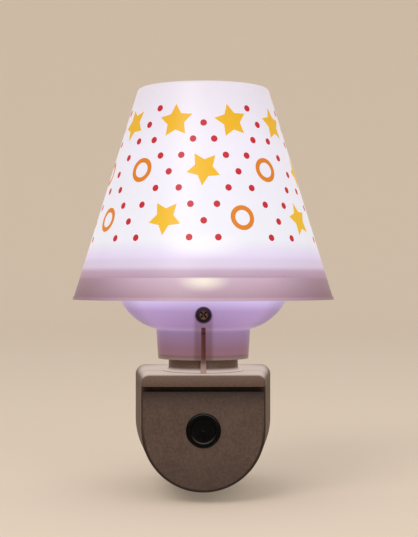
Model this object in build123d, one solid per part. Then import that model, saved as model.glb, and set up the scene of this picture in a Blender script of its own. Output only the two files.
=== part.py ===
from build123d import *
import math
import os

# Plug-in night light with a conical shade, in millimetres.
# Frame: +X right, +Y into the wall, +Z up.
# Origin: between the two plug pins, on the contact face of the plug.

# Plug, to the European two-pin pattern
PIN_RADIUS = 2.4
PIN_SPACING = 19.0
PIN_LENGTH = 19.0
PIN_TIP_ROUND = 1.9
PIN_NECK_STEP = 0.4
PIN_COLLAR_RADIUS = 3.6
PIN_COLLAR_LENGTH = 1.5
PIN_TAIL_RADIUS = 1.5
PIN_TAIL_LENGTH = 5.0
PLUG_RADIUS = 18.5
PLUG_LENGTH = 22.0
PLUG_WALL = 2.0
PLUG_END_WALL = 2.5
PLUG_END_CHAMFER = 0.8
EARTH_HOLE_RADIUS = 2.8
EARTH_HOLE_HEIGHT = 10.0
EARTH_HOLE_DEPTH = 15.0
EARTH_TUBE_WALL = 1.5
CLIP_NOTCH_WIDTH = 9.0
CLIP_NOTCH_DEPTH = 2.5
CLIP_NOTCH_LENGTH = 17.0

# Base housing, a D seen from the front that narrows towards the viewer
HOUSING_DEPTH = 47.5
REAR_HALF_WIDTH = 24.0
FRONT_HALF_WIDTH = 19.8
REAR_TOP = 18.65
FRONT_TOP = 18.2
REAR_CORNER = 3.5
FRONT_CORNER = 2.5
INNER_CORNER = 0.5
FRONT_EDGE_ROUND = 0.8
REAR_EDGE_ROUND = 1.5
HOUSING_WALL = 2.0
FRONT_WALL = 1.8
SEAM_WIDTH = 0.5
SEAM_DEPTH = 0.35
TONGUE_LENGTH = 1.5
TONGUE_ROOT = 3.0
TONGUE_THICKNESS = 0.9
SHELF_THICKNESS = 1.6
SHELF_HOLE_RADIUS = 9.8
HOUSING_BOSS_RADIUS = 2.6
HOUSING_BOSS_LENGTH = 10.0
SCREW_TUBE_RADIUS = 3.3
SCREW_TUBE_BORE = 2.4
SCREW_SEAT = 2.0

# Front face: brow band, dark gap and set-back plate
BROW_HEIGHT = 4.0
BROW_GAP = 1.5
PLATE_INSET = 0.3
PLATE_RECESS = 1.0
PLATE_THICKNESS = 1.6
PLATE_CORNER = 0.8
PLATE_EDGE_ROUND = 0.4
PEG_RADIUS = 1.4
PEG_INSET = 4.6
PEG_ANGLES = (15.0, 165.0, 270.0)

# Push button and switch
BUTTON_RADIUS = 5.3
BUTTON_PROUD = 0.7
BUTTON_RIM_WIDTH = 1.1
BUTTON_DISH_DEPTH = 0.8
BUTTON_DISH_SAG = 0.3
BUTTON_RIM_RUN = 0.35
BUTTON_EDGE_ROUND = 0.3
BUTTON_FLANGE_WIDTH = 1.6
BUTTON_FLANGE_THICKNESS = 1.2
BUTTON_HUB_RADIUS = 2.5
BUTTON_HUB_LENGTH = 2.0
BUTTON_TRAVEL = 1.6
PLUNGER_RADIUS = 1.5
PLUNGER_ENGAGEMENT = 1.0
SWITCH_WIDTH = 8.0
SWITCH_HEIGHT = 7.5
SWITCH_MARGIN = 1.2
SWITCH_CHAMFER = 0.8

# Driver board and its components
BOARD_WIDTH = 28.0
BOARD_HEIGHT = 24.0
BOARD_THICKNESS = 1.6
BOARD_CORNER = 1.5
BOARD_POST_RADIUS = 2.25
BOARD_POST_INSET = 2.6
FILM_WIDTH = 13.0
FILM_THICKNESS = 6.0
FILM_HEIGHT = 11.0
ELECTROLYTIC_RADIUS = 4.0
ELECTROLYTIC_HEIGHT = 11.5
CAN_GROOVE_START = 1.0
CAN_GROOVE_WIDTH = 1.0
CAN_GROOVE_DEPTH = 0.3
RECTIFIER_WIDTH = 8.5
RECTIFIER_DEPTH = 6.4
RECTIFIER_HEIGHT = 3.2
RESISTOR_RADIUS = 1.7
RESISTOR_LENGTH = 8.5
RESISTOR_LEG_RADIUS = 0.35
RESISTOR_LIFT = 0.4
LEAD_RADIUS = 0.8
LED_PAD_HEIGHT = 2.6
COMPONENT_MARGIN = 1.0
COMPONENT_EDGE = 0.3

# Neck, bowl and post on the head axis
AXIS_SETBACK = 17.0
NECK_GAP = 4.15
NECK_LENGTH = 9.7
NECK_BOTTOM_RADIUS = 15.0
NECK_TOP_RADIUS = 15.65
NECK_WALL = 1.5
BOWL_RADIUS = 29.6
BOWL_ARC_RADIUS = 18.65
BOWL_WALL = 1.6
COLLAR_HEIGHT = 5.0
COLLAR_WALL = 1.6
BOWL_FLOOR_LAND = 2.5
NECK_SLOT_WIDTH = 1.35
SLOT_RUN_OUT = 0.8
GUIDE_WALL = 1.0
RIB_WIDTH = 1.8
POST_RADIUS = 11.5
POST_WALL = 2.0
POST_FOOT_ROUND = 1.5
POST_FOOT_EDGE = 0.25
POST_FLANGE_THICKNESS = 1.6
SHOULDER_STEP = 1.1
POST_TOP_WALL = 1.6

# Screw at the front of the bowl
BOWL_SCREW_RISE = 5.2
BOWL_SCREW_SEAT = 9.1
BOWL_SCREW_LENGTH = 13.5
BOWL_SCREW_HEAD_RADIUS = 2.05
BOWL_SCREW_HEAD_HEIGHT = 1.7
BOWL_SCREW_HEAD_GAP = 0.7
BOWL_SCREW_TURN = 45.0
BOWL_BOSS_WALL = 1.5
POST_BOSS_RADIUS = 2.8
POST_BOSS_DEPTH = 3.0

# LED board on top of the post
LED_BOARD_THICKNESS = 1.2
LED_BOARD_MARGIN = 0.9
LED_SIZE = 3.0
LED_HEIGHT = 1.0
LED_CHAMFER = 0.2
LED_COUNT = 4
LED_CIRCLE_RADIUS = 4.2
LED_LEAD_RADIUS = 0.6
LED_LEAD_SPREAD = 1.8
LEAD_HOLE_GAP = 0.45

# Shade
SHADE_HEIGHT = 69.9
SHADE_RIM_RADIUS = 43.2
SHADE_TOP_RADIUS = 21.65
SHADE_WALL = 1.5
SHADE_TOP_ROUND = 1.2
SHADE_SKIRT = 8.2
SHADE_BEAD_HEIGHT = 1.0
SHADE_BEAD_DEPTH = 0.2
STOP_RIB_COUNT = 4
STOP_RIB_WIDTH = 1.2
STOP_RIB_DEPTH = 1.3
STOP_RIB_HEIGHT = 4.0

# Screws
SMALL_SCREW_RADIUS = 1.1
SMALL_HEAD_RADIUS = 2.0
SMALL_HEAD_HEIGHT = 1.4
BOARD_SCREW_LENGTH = 6.0
LED_SCREW_RADIUS = 0.8
LED_SCREW_HEAD_RADIUS = 1.4
LED_SCREW_HEAD_HEIGHT = 0.9
LED_SCREW_LENGTH = 2.4
HOUSING_SCREW_REACH = 7.0
HEAD_EDGE_SHARE = 0.4
HEAD_SHOULDER_SHARE = 0.84
HEAD_FLAT_SHARE = 0.45
RECESS_WIDTH_SHARE = 0.24
RECESS_LENGTH_SHARE = 1.25
RECESS_DEPTH_SHARE = 0.6

# Clearances
RUNNING_GAP = 0.3
SHADE_FIT = 0.2
SEAT_FIT = 0.15
PIN_FIT = 0.05
THREAD_FIT = 0.05
SHANK_FIT = 0.25
TOUCH_GAP = 0.1
OVERCUT = 1.0

# Depths, from the viewer's side backwards
HOUSING_REAR = -PLUG_LENGTH
HOUSING_FRONT = HOUSING_REAR - HOUSING_DEPTH
AXIS_Y = HOUSING_FRONT + AXIS_SETBACK
PARTING = AXIS_Y
PLATE_FRONT = HOUSING_FRONT + PLATE_RECESS
PLATE_BACK = PLATE_FRONT + PLATE_THICKNESS
FRONT_WALL_BACK = PLATE_BACK + FRONT_WALL
BUTTON_FRONT = PLATE_FRONT - BUTTON_PROUD
FLANGE_FRONT = FRONT_WALL_BACK + TOUCH_GAP
FLANGE_BACK = FLANGE_FRONT + BUTTON_FLANGE_THICKNESS
HUB_BACK = FLANGE_BACK + BUTTON_HUB_LENGTH
SWITCH_FRONT = HUB_BACK + BUTTON_TRAVEL + SWITCH_MARGIN
BOARD_FRONT = SWITCH_FRONT + SWITCH_HEIGHT
BOARD_BACK = BOARD_FRONT + BOARD_THICKNESS
PIN_TAIL_END = -PLUG_END_WALL - PIN_COLLAR_LENGTH - PIN_TAIL_LENGTH


def share_of_depth(y):
    """How far a depth lies from the rear face (0) to the front face (1)."""
    return (HOUSING_REAR - y) / HOUSING_DEPTH


def half_width_at(y):
    """Half width of the housing at one depth."""
    return REAR_HALF_WIDTH + share_of_depth(y) * (FRONT_HALF_WIDTH - REAR_HALF_WIDTH)


def top_at(y):
    """Height of the housing's top at one depth."""
    return REAR_TOP + share_of_depth(y) * (FRONT_TOP - REAR_TOP)


def corner_at(y):
    """Radius of the housing's top corners at one depth."""
    return REAR_CORNER + share_of_depth(y) * (FRONT_CORNER - REAR_CORNER)


# Heights, from the housing's top upwards
TOP_AT_AXIS = top_at(AXIS_Y)
POST_FLANGE_TOP = top_at(HOUSING_FRONT) - HOUSING_WALL - TOUCH_GAP
POST_FLANGE_BOTTOM = POST_FLANGE_TOP - POST_FLANGE_THICKNESS
SHELF_TOP = POST_FLANGE_BOTTOM
SHELF_BOTTOM = SHELF_TOP - SHELF_THICKNESS
BOARD_TOP = SHELF_BOTTOM - RUNNING_GAP
BOARD_MIDDLE = BOARD_TOP - BOARD_HEIGHT / 2
NECK_BOTTOM = TOP_AT_AXIS + NECK_GAP
NECK_TOP = NECK_BOTTOM + NECK_LENGTH
SHOULDER = NECK_TOP - BOWL_WALL / 2
BOWL_ARC_MIDDLE = BOWL_RADIUS - BOWL_ARC_RADIUS
BOWL_EQUATOR = NECK_TOP + math.sqrt(BOWL_ARC_RADIUS**2 - (NECK_TOP_RADIUS - BOWL_ARC_MIDDLE) ** 2)
COLLAR_TOP = BOWL_EQUATOR + COLLAR_HEIGHT
BOWL_SCREW_HEIGHT = NECK_TOP + BOWL_SCREW_RISE
POST_TOP = BOWL_SCREW_HEIGHT + POST_BOSS_RADIUS + POST_TOP_WALL
LED_BOARD_TOP = POST_TOP + LED_BOARD_THICKNESS
SHADE_RIM = BOWL_EQUATOR - SHADE_SKIRT
SHADE_TOP = SHADE_RIM + SHADE_HEIGHT
BROW_BOTTOM = FRONT_TOP - BROW_HEIGHT
PLATE_TOP = BROW_BOTTOM - BROW_GAP

# Radii and places that follow from the above
UPPER_POST_RADIUS = POST_RADIUS - SHOULDER_STEP
BOWL_SEAT_RADIUS = UPPER_POST_RADIUS + BOWL_SCREW_SEAT
RIB_RADIUS = NECK_BOTTOM_RADIUS - NECK_WALL - RUNNING_GAP
GUIDE_OFFSET = RIB_WIDTH / 2 + RUNNING_GAP
PLATE_HALF_WIDTH = half_width_at(PLATE_FRONT) - PLATE_INSET
BUTTON_BORE = BUTTON_RADIUS + RUNNING_GAP
BUTTON_FLANGE_RADIUS = BUTTON_RADIUS + BUTTON_FLANGE_WIDTH
HOUSING_SCREW_X = half_width_at(PARTING) - HOUSING_WALL - HOUSING_BOSS_RADIUS + TOUCH_GAP
HOUSING_SCREW_Z = POST_FLANGE_TOP - HOUSING_BOSS_RADIUS + RUNNING_GAP
POST_FLANGE_RADIUS = HOUSING_SCREW_X - SCREW_TUBE_RADIUS - RUNNING_GAP
SHADE_SLOPE = (SHADE_RIM_RADIUS - SHADE_TOP_RADIUS) / SHADE_HEIGHT
SHADE_WALL_ACROSS = SHADE_WALL * math.sqrt(1 + SHADE_SLOPE**2)
LED_BOARD_RADIUS = UPPER_POST_RADIUS - LED_BOARD_MARGIN
LED_SCREW_X = (LED_BOARD_RADIUS + LED_CIRCLE_RADIUS) / 2
LED_LEAD_Y = BOARD_BACK + LED_LEAD_RADIUS + TOUCH_GAP
BOARD_POST_X = BOARD_WIDTH / 2 - BOARD_POST_INSET
BOARD_POST_Z = BOARD_HEIGHT / 2 - BOARD_POST_INSET
RECTIFIER_TOP = BOARD_TOP - BOARD_HEIGHT + COMPONENT_MARGIN + RECTIFIER_DEPTH


def facing_viewer(y):
    """Sketch plane at one depth: X to the right, Z up, normal towards the viewer."""
    return Plane(origin=(0, y, 0), x_dir=(1, 0, 0), z_dir=(0, -1, 0))


def rod(radius, start_y, end_y, x=0.0, z=0.0):
    """Round rod along Y between two depths."""
    length = end_y - start_y
    middle = (start_y + end_y) / 2
    return Pos(x, middle, z) * Rot(X=90) * Cylinder(radius, length)


def column(radius, bottom, top, x=0.0, y=AXIS_Y):
    """Round column along Z between two heights, on the head axis unless told otherwise."""
    return Pos(x, y, (bottom + top) / 2) * Cylinder(radius, top - bottom)


def block(x_range, y_range, z_range):
    """Box between the given limits."""
    size = [high - low for low, high in (x_range, y_range, z_range)]
    middle = [(high + low) / 2 for low, high in (x_range, y_range, z_range)]
    return Pos(*middle) * Box(*size)


def d_section(y, half_width, top, corner):
    """D shape at one depth: flat top with round corners, straight sides and a half circle below."""
    with BuildSketch(facing_viewer(y)) as section:
        with BuildLine():
            Line((-half_width, 0), (-half_width, top - corner))
            TangentArc((-half_width, top - corner), (-half_width + corner, top), tangent=(0, 1))
            Line((-half_width + corner, top), (half_width - corner, top))
            TangentArc((half_width - corner, top), (half_width, top - corner), tangent=(1, 0))
            Line((half_width, top - corner), (half_width, 0))
            ThreePointArc((half_width, 0), (0, -half_width), (-half_width, 0))
        make_face()
    return section.sketch


def housing_section(y, inset):
    """Section of the housing at one depth, drawn in all round by an inset."""
    corner = max(corner_at(y) - inset, INNER_CORNER)
    return d_section(y, half_width_at(y) - inset, top_at(y) - inset, corner)


def housing_block(rear_y, front_y, inset=0.0):
    """Solid of the housing between two depths, drawn in all round by an inset."""
    return loft([housing_section(rear_y, inset), housing_section(front_y, inset)], ruled=True)


def pan_screw(shank_radius, length, head_radius, head_height):
    """Pan-head screw along Z with its seat at height 0, head upwards, and a cross recess."""
    edge_top = (head_radius, head_height * HEAD_EDGE_SHARE)
    shoulder = (head_radius * HEAD_SHOULDER_SHARE, head_height * HEAD_SHOULDER_SHARE)
    flat_edge = (head_radius * HEAD_FLAT_SHARE, head_height)
    with BuildSketch(Plane.XZ) as profile:
        with BuildLine():
            Polyline((0, 0), (head_radius, 0), edge_top)
            ThreePointArc(edge_top, shoulder, flat_edge)
            Polyline(flat_edge, (0, head_height), (0, 0))
        make_face()
    head = revolve(profile.sketch, Axis.Z)
    shank = Pos(0, 0, -length / 2) * Cylinder(shank_radius, length)
    recess_depth = head_height * RECESS_DEPTH_SHARE
    arm = Box(head_radius * RECESS_LENGTH_SHARE, head_radius * RECESS_WIDTH_SHARE, 2 * recess_depth)
    cross = arm + Rot(Z=90) * arm
    return head + shank - Pos(0, 0, head_height) * cross


def shelf(rear_y, front_y):
    """Half of the shelf that carries the post's flange, reaching into the housing walls."""
    slab = block((-REAR_HALF_WIDTH, REAR_HALF_WIDTH), (front_y, rear_y), (SHELF_BOTTOM, SHELF_TOP))
    slab &= housing_block(rear_y, front_y, HOUSING_WALL / 2)
    return slab - column(SHELF_HOLE_RADIUS, SHELF_BOTTOM - OVERCUT, SHELF_TOP + OVERCUT)


def post_passage():
    """Round hole for the post in the housing's top, split between the two shells."""
    return column(POST_RADIUS + SEAT_FIT, SHELF_TOP, TOP_AT_AXIS + OVERCUT)


def peg_places():
    """Places of the plate's pegs, on an arc inside the plate's outline."""
    reach = PLATE_HALF_WIDTH - PEG_INSET
    for angle in PEG_ANGLES:
        turn = math.radians(angle)
        yield reach * math.cos(turn), reach * math.sin(turn)


def board_post_places():
    """Places of the four posts that carry the driver board."""
    for x in (-BOARD_POST_X, BOARD_POST_X):
        for z in (BOARD_MIDDLE - BOARD_POST_Z, BOARD_MIDDLE + BOARD_POST_Z):
            yield x, z


def front_shell():
    """Front half of the base: tapered cup with brow, set-back front, shelf, bosses and board posts."""
    shell = housing_block(PARTING, HOUSING_FRONT)
    shell = fillet(shell.faces().sort_by(Axis.Y)[0].edges(), FRONT_EDGE_ROUND)
    shell -= housing_block(PARTING + OVERCUT, FRONT_WALL_BACK, HOUSING_WALL)
    shell -= block(
        (-REAR_HALF_WIDTH, REAR_HALF_WIDTH),
        (HOUSING_FRONT - OVERCUT, PLATE_BACK),
        (-REAR_HALF_WIDTH, BROW_BOTTOM),
    )
    shell += shelf(PARTING, FRONT_WALL_BACK - FRONT_WALL / 2)
    for x, z in board_post_places():
        shell += rod(BOARD_POST_RADIUS, FRONT_WALL_BACK - FRONT_WALL / 2, BOARD_FRONT, x, z)
        pilot_end = BOARD_BACK - BOARD_SCREW_LENGTH - RUNNING_GAP
        shell -= rod(SMALL_SCREW_RADIUS + THREAD_FIT, pilot_end, BOARD_FRONT + OVERCUT, x, z)
    for side in (-1, 1):
        x = side * HOUSING_SCREW_X
        shell += rod(HOUSING_BOSS_RADIUS, PARTING - HOUSING_BOSS_LENGTH, PARTING, x, HOUSING_SCREW_Z)
        pilot_end = PARTING - HOUSING_SCREW_REACH - RUNNING_GAP
        shell -= rod(SMALL_SCREW_RADIUS + THREAD_FIT, pilot_end, PARTING + OVERCUT, x, HOUSING_SCREW_Z)
    shell -= rod(BUTTON_BORE, HOUSING_FRONT, FRONT_WALL_BACK + OVERCUT)
    for x, z in peg_places():
        shell -= rod(PEG_RADIUS + SEAT_FIT, HOUSING_FRONT, FRONT_WALL_BACK + OVERCUT, x, z)
    return shell - post_passage()


def plug_body():
    """Round plug body with its hollow, earth tube, clip notches and pin holes."""
    plug = rod(PLUG_RADIUS, HOUSING_REAR - HOUSING_WALL, 0)
    plug = chamfer(plug.faces().sort_by(Axis.Y)[-1].edges(), PLUG_END_CHAMFER)
    notch_floor = PLUG_RADIUS - CLIP_NOTCH_DEPTH
    hollow = rod(PLUG_RADIUS - PLUG_WALL, HOUSING_REAR - HOUSING_WALL - OVERCUT, -PLUG_END_WALL)
    hollow &= block(
        (-PLUG_RADIUS, PLUG_RADIUS),
        (HOUSING_REAR - HOUSING_WALL - OVERCUT, 0),
        (PLUG_WALL - notch_floor, notch_floor - PLUG_WALL),
    )
    plug -= hollow
    plug += rod(
        EARTH_HOLE_RADIUS + EARTH_TUBE_WALL,
        -EARTH_HOLE_DEPTH - EARTH_TUBE_WALL,
        -PLUG_END_WALL / 2,
        0,
        EARTH_HOLE_HEIGHT,
    )
    plug -= rod(EARTH_HOLE_RADIUS, -EARTH_HOLE_DEPTH, OVERCUT, 0, EARTH_HOLE_HEIGHT)
    for side in (-1, 1):
        notch_heights = sorted((side * notch_floor, side * (PLUG_RADIUS + OVERCUT)))
        plug -= block(
            (-CLIP_NOTCH_WIDTH / 2, CLIP_NOTCH_WIDTH / 2), (-CLIP_NOTCH_LENGTH, OVERCUT), notch_heights
        )
        plug -= rod(PIN_RADIUS + PIN_FIT, -PLUG_END_WALL - OVERCUT, OVERCUT, side * PIN_SPACING / 2)
    return plug


def tongue():
    """Rim of the rear shell that enters the front shell along the sides and below."""
    outer = HOUSING_WALL + SEAT_FIT
    inner = outer + TONGUE_THICKNESS
    root = PARTING + TONGUE_ROOT
    tip = PARTING - TONGUE_LENGTH
    ring = housing_block(root, tip, outer) + housing_block(root, PARTING, HOUSING_WALL / 2)
    ring -= housing_block(root + OVERCUT, tip - OVERCUT, inner)
    keep = block(
        (-REAR_HALF_WIDTH, REAR_HALF_WIDTH),
        (tip - OVERCUT, root + OVERCUT),
        (-REAR_HALF_WIDTH, HOUSING_SCREW_Z - HOUSING_BOSS_RADIUS - RUNNING_GAP),
    )
    return ring & keep


def rear_shell():
    """Rear half of the base with the plug body, shelf, screw tubes and tongue."""
    shell = housing_block(HOUSING_REAR, PARTING)
    shell = fillet(shell.faces().sort_by(Axis.Y)[-1].edges(), REAR_EDGE_ROUND)
    shell -= housing_block(HOUSING_REAR - HOUSING_WALL, PARTING - OVERCUT, HOUSING_WALL)
    seam = housing_block(PARTING + SEAM_WIDTH, PARTING - OVERCUT)
    shell -= seam - housing_block(PARTING + SEAM_WIDTH, PARTING - OVERCUT, SEAM_DEPTH)
    shell += shelf(AXIS_Y + POST_FLANGE_RADIUS + RUNNING_GAP, PARTING)
    shell += tongue()
    shell -= rod(PLUG_RADIUS - PLUG_WALL, HOUSING_REAR - HOUSING_WALL - OVERCUT, HOUSING_REAR + OVERCUT)
    shell += plug_body()
    for side in (-1, 1):
        x = side * HOUSING_SCREW_X
        shell += rod(SCREW_TUBE_RADIUS, PARTING, HOUSING_REAR - HOUSING_WALL / 2, x, HOUSING_SCREW_Z)
        shell -= rod(SCREW_TUBE_BORE, PARTING + SCREW_SEAT, HOUSING_REAR + OVERCUT, x, HOUSING_SCREW_Z)
        shell -= rod(
            SMALL_SCREW_RADIUS + SHANK_FIT, PARTING - OVERCUT, HOUSING_REAR, x, HOUSING_SCREW_Z
        )
    return shell - post_passage()


def face_plate():
    """D-shaped plate under the brow, with the button's bore and three pegs behind it."""
    plate = extrude(d_section(PLATE_BACK, PLATE_HALF_WIDTH, PLATE_TOP, PLATE_CORNER), PLATE_THICKNESS)
    plate = fillet(plate.faces().sort_by(Axis.Y)[0].edges(), PLATE_EDGE_ROUND)
    for x, z in peg_places():
        plate += rod(PEG_RADIUS, PLATE_BACK - PLATE_THICKNESS / 2, FRONT_WALL_BACK, x, z)
    return plate - rod(BUTTON_BORE, PLATE_FRONT - OVERCUT, PLATE_BACK + OVERCUT)


def power_button():
    """Black push button: raised rim round a dished face, retaining flange and hub behind."""
    rim_inside = BUTTON_RADIUS - BUTTON_RIM_WIDTH
    dish_radius = rim_inside - BUTTON_RIM_RUN
    dish_floor = BUTTON_FRONT + BUTTON_DISH_DEPTH
    dish_edge = dish_floor - BUTTON_DISH_SAG
    ball_radius = (dish_radius**2 + BUTTON_DISH_SAG**2) / (2 * BUTTON_DISH_SAG)
    halfway_sag = ball_radius - math.sqrt(ball_radius**2 - (dish_radius / 2) ** 2)
    with BuildSketch(Plane.XY) as profile:
        with BuildLine():
            Polyline(
                (0, HUB_BACK),
                (BUTTON_HUB_RADIUS, HUB_BACK),
                (BUTTON_HUB_RADIUS, FLANGE_BACK),
                (BUTTON_FLANGE_RADIUS, FLANGE_BACK),
                (BUTTON_FLANGE_RADIUS, FLANGE_FRONT),
                (BUTTON_RADIUS, FLANGE_FRONT),
                (BUTTON_RADIUS, BUTTON_FRONT + BUTTON_EDGE_ROUND),
            )
            TangentArc(
                (BUTTON_RADIUS, BUTTON_FRONT + BUTTON_EDGE_ROUND),
                (BUTTON_RADIUS - BUTTON_EDGE_ROUND, BUTTON_FRONT),
                tangent=(0, -1),
            )
            Line((BUTTON_RADIUS - BUTTON_EDGE_ROUND, BUTTON_FRONT), (rim_inside, BUTTON_FRONT))
            Line((rim_inside, BUTTON_FRONT), (dish_radius, dish_edge))
            ThreePointArc(
                (dish_radius, dish_edge), (dish_radius / 2, dish_floor - halfway_sag), (0, dish_floor)
            )
            Line((0, dish_floor), (0, HUB_BACK))
        make_face()
    return revolve(profile.sketch, Axis.Y)


def switch_plunger():
    """Plunger of the push switch, carried by the button's hub."""
    return rod(PLUNGER_RADIUS, HUB_BACK, SWITCH_FRONT + PLUNGER_ENGAGEMENT)


def push_switch():
    """Body of the push switch on the driver board, open for its plunger."""
    half = SWITCH_WIDTH / 2
    body = block((-half, half), (SWITCH_FRONT, BOARD_FRONT), (-half, half))
    body = chamfer(body.faces().sort_by(Axis.Y)[0].edges(), SWITCH_CHAMFER)
    well = PLUNGER_ENGAGEMENT + BUTTON_TRAVEL + RUNNING_GAP
    return body - rod(PLUNGER_RADIUS + RUNNING_GAP / 2, SWITCH_FRONT - OVERCUT, SWITCH_FRONT + well)


def driver_board():
    """Driver circuit board on its four posts."""
    half = BOARD_WIDTH / 2
    board = block((-half, half), (BOARD_FRONT, BOARD_BACK), (BOARD_TOP - BOARD_HEIGHT, BOARD_TOP))
    board = fillet(board.edges().filter_by(Axis.Y), BOARD_CORNER)
    for x, z in board_post_places():
        board -= rod(SMALL_SCREW_RADIUS + SHANK_FIT, BOARD_FRONT - OVERCUT, BOARD_BACK + OVERCUT, x, z)
    return board


def board_screws():
    """Four screws that hold the driver board."""
    screw = pan_screw(SMALL_SCREW_RADIUS, BOARD_SCREW_LENGTH, SMALL_HEAD_RADIUS, SMALL_HEAD_HEIGHT)
    return [Pos(x, BOARD_BACK, z) * Rot(X=-90) * screw for x, z in board_post_places()]


def film_capacitor():
    """Boxed film capacitor on the upper part of the driver board."""
    left = -BOARD_POST_X + SMALL_HEAD_RADIUS + RUNNING_GAP
    top = BOARD_TOP - LED_PAD_HEIGHT - RUNNING_GAP
    body = block(
        (left, left + FILM_WIDTH), (BOARD_BACK, BOARD_BACK + FILM_HEIGHT), (top - FILM_THICKNESS, top)
    )
    return fillet(body.faces().sort_by(Axis.Y)[-1].edges(), COMPONENT_EDGE)


def electrolytic_capacitor():
    """Upright electrolytic capacitor can with its rolled groove."""
    x = BOARD_POST_X - SMALL_HEAD_RADIUS - RUNNING_GAP - ELECTROLYTIC_RADIUS
    z = BOARD_TOP - BOARD_HEIGHT + COMPONENT_MARGIN + ELECTROLYTIC_RADIUS
    can = rod(ELECTROLYTIC_RADIUS, BOARD_BACK, BOARD_BACK + ELECTROLYTIC_HEIGHT, x, z)
    can = fillet(can.edges().filter_by(GeomType.CIRCLE), COMPONENT_EDGE)
    groove_start = BOARD_BACK + CAN_GROOVE_START
    groove_end = groove_start + CAN_GROOVE_WIDTH
    groove = rod(ELECTROLYTIC_RADIUS + OVERCUT, groove_start, groove_end, x, z)
    groove -= rod(ELECTROLYTIC_RADIUS - CAN_GROOVE_DEPTH, groove_start, groove_end, x, z)
    return can - groove


def rectifier():
    """Bridge rectifier on the lower left of the driver board."""
    left = -BOARD_POST_X + SMALL_HEAD_RADIUS + RUNNING_GAP
    body = block(
        (left, left + RECTIFIER_WIDTH),
        (BOARD_BACK, BOARD_BACK + RECTIFIER_HEIGHT),
        (RECTIFIER_TOP - RECTIFIER_DEPTH, RECTIFIER_TOP),
    )
    return chamfer(body.faces().sort_by(Axis.Y)[-1].edges(), COMPONENT_EDGE)


def fuse_resistor():
    """Axial fuse resistor lying across the middle of the driver board on its two legs."""
    left = -BOARD_POST_X + SMALL_HEAD_RADIUS + RUNNING_GAP + 2 * LEAD_RADIUS
    z = RECTIFIER_TOP + RESISTOR_RADIUS + RUNNING_GAP
    y = BOARD_BACK + RESISTOR_LIFT + RESISTOR_RADIUS
    body = Pos(left + RESISTOR_LENGTH / 2, y, z) * Rot(Y=90) * Cylinder(RESISTOR_RADIUS, RESISTOR_LENGTH)
    body = fillet(body.edges().filter_by(GeomType.CIRCLE), COMPONENT_EDGE)
    for x in (left + RESISTOR_RADIUS, left + RESISTOR_LENGTH - RESISTOR_RADIUS):
        body += rod(RESISTOR_LEG_RADIUS, BOARD_BACK, y, x, z)
    return body


def plug_pin(side):
    """Round plug pin: rounded tip, neck through the plug's end wall, collar and solder tail."""
    x = side * PIN_SPACING / 2
    pin = rod(PIN_RADIUS, 0, PIN_LENGTH, x)
    pin = fillet(pin.faces().sort_by(Axis.Y)[-1].edges(), PIN_TIP_ROUND)
    pin += rod(PIN_RADIUS - PIN_NECK_STEP, -PLUG_END_WALL, 0, x)
    collar_front = -PLUG_END_WALL - PIN_COLLAR_LENGTH
    pin += rod(PIN_COLLAR_RADIUS, collar_front, -PLUG_END_WALL, x)
    return pin + rod(PIN_TAIL_RADIUS, PIN_TAIL_END, collar_front, x)


def plug_lead(side):
    """Wire from a pin's tail straight forward to the driver board."""
    return rod(LEAD_RADIUS, BOARD_BACK, PIN_TAIL_END, side * PIN_SPACING / 2)


def housing_screws():
    """Two screws that join the shells from behind, deep in their tubes."""
    length = SCREW_SEAT + HOUSING_SCREW_REACH
    screw = pan_screw(SMALL_SCREW_RADIUS, length, SMALL_HEAD_RADIUS, SMALL_HEAD_HEIGHT)
    places = [(side * HOUSING_SCREW_X, PARTING + SCREW_SEAT, HOUSING_SCREW_Z) for side in (-1, 1)]
    return [Pos(*place) * Rot(X=-90) * screw for place in places]


def on_head_axis(sketch):
    """Solid of revolution of a half section, moved to the head axis."""
    return Pos(0, AXIS_Y, 0) * revolve(sketch, Axis.Z)


def post_foot():
    """Flared foot of the post, which sits on the housing's top."""
    foot_radius = POST_RADIUS + POST_FOOT_ROUND
    edge_top = TOP_AT_AXIS + POST_FOOT_EDGE
    flare_top = edge_top + POST_FOOT_ROUND
    with BuildSketch(Plane.XZ) as section:
        with BuildLine():
            Polyline(
                (POST_RADIUS, flare_top),
                (UPPER_POST_RADIUS, flare_top),
                (UPPER_POST_RADIUS, TOP_AT_AXIS - OVERCUT),
                (foot_radius, TOP_AT_AXIS - OVERCUT),
                (foot_radius, edge_top),
            )
            TangentArc((foot_radius, edge_top), (POST_RADIUS, flare_top), tangent=(-1, 0))
        make_face()
    return on_head_axis(section.sketch) - housing_block(HOUSING_REAR, HOUSING_FRONT, -TOUCH_GAP)


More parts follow.
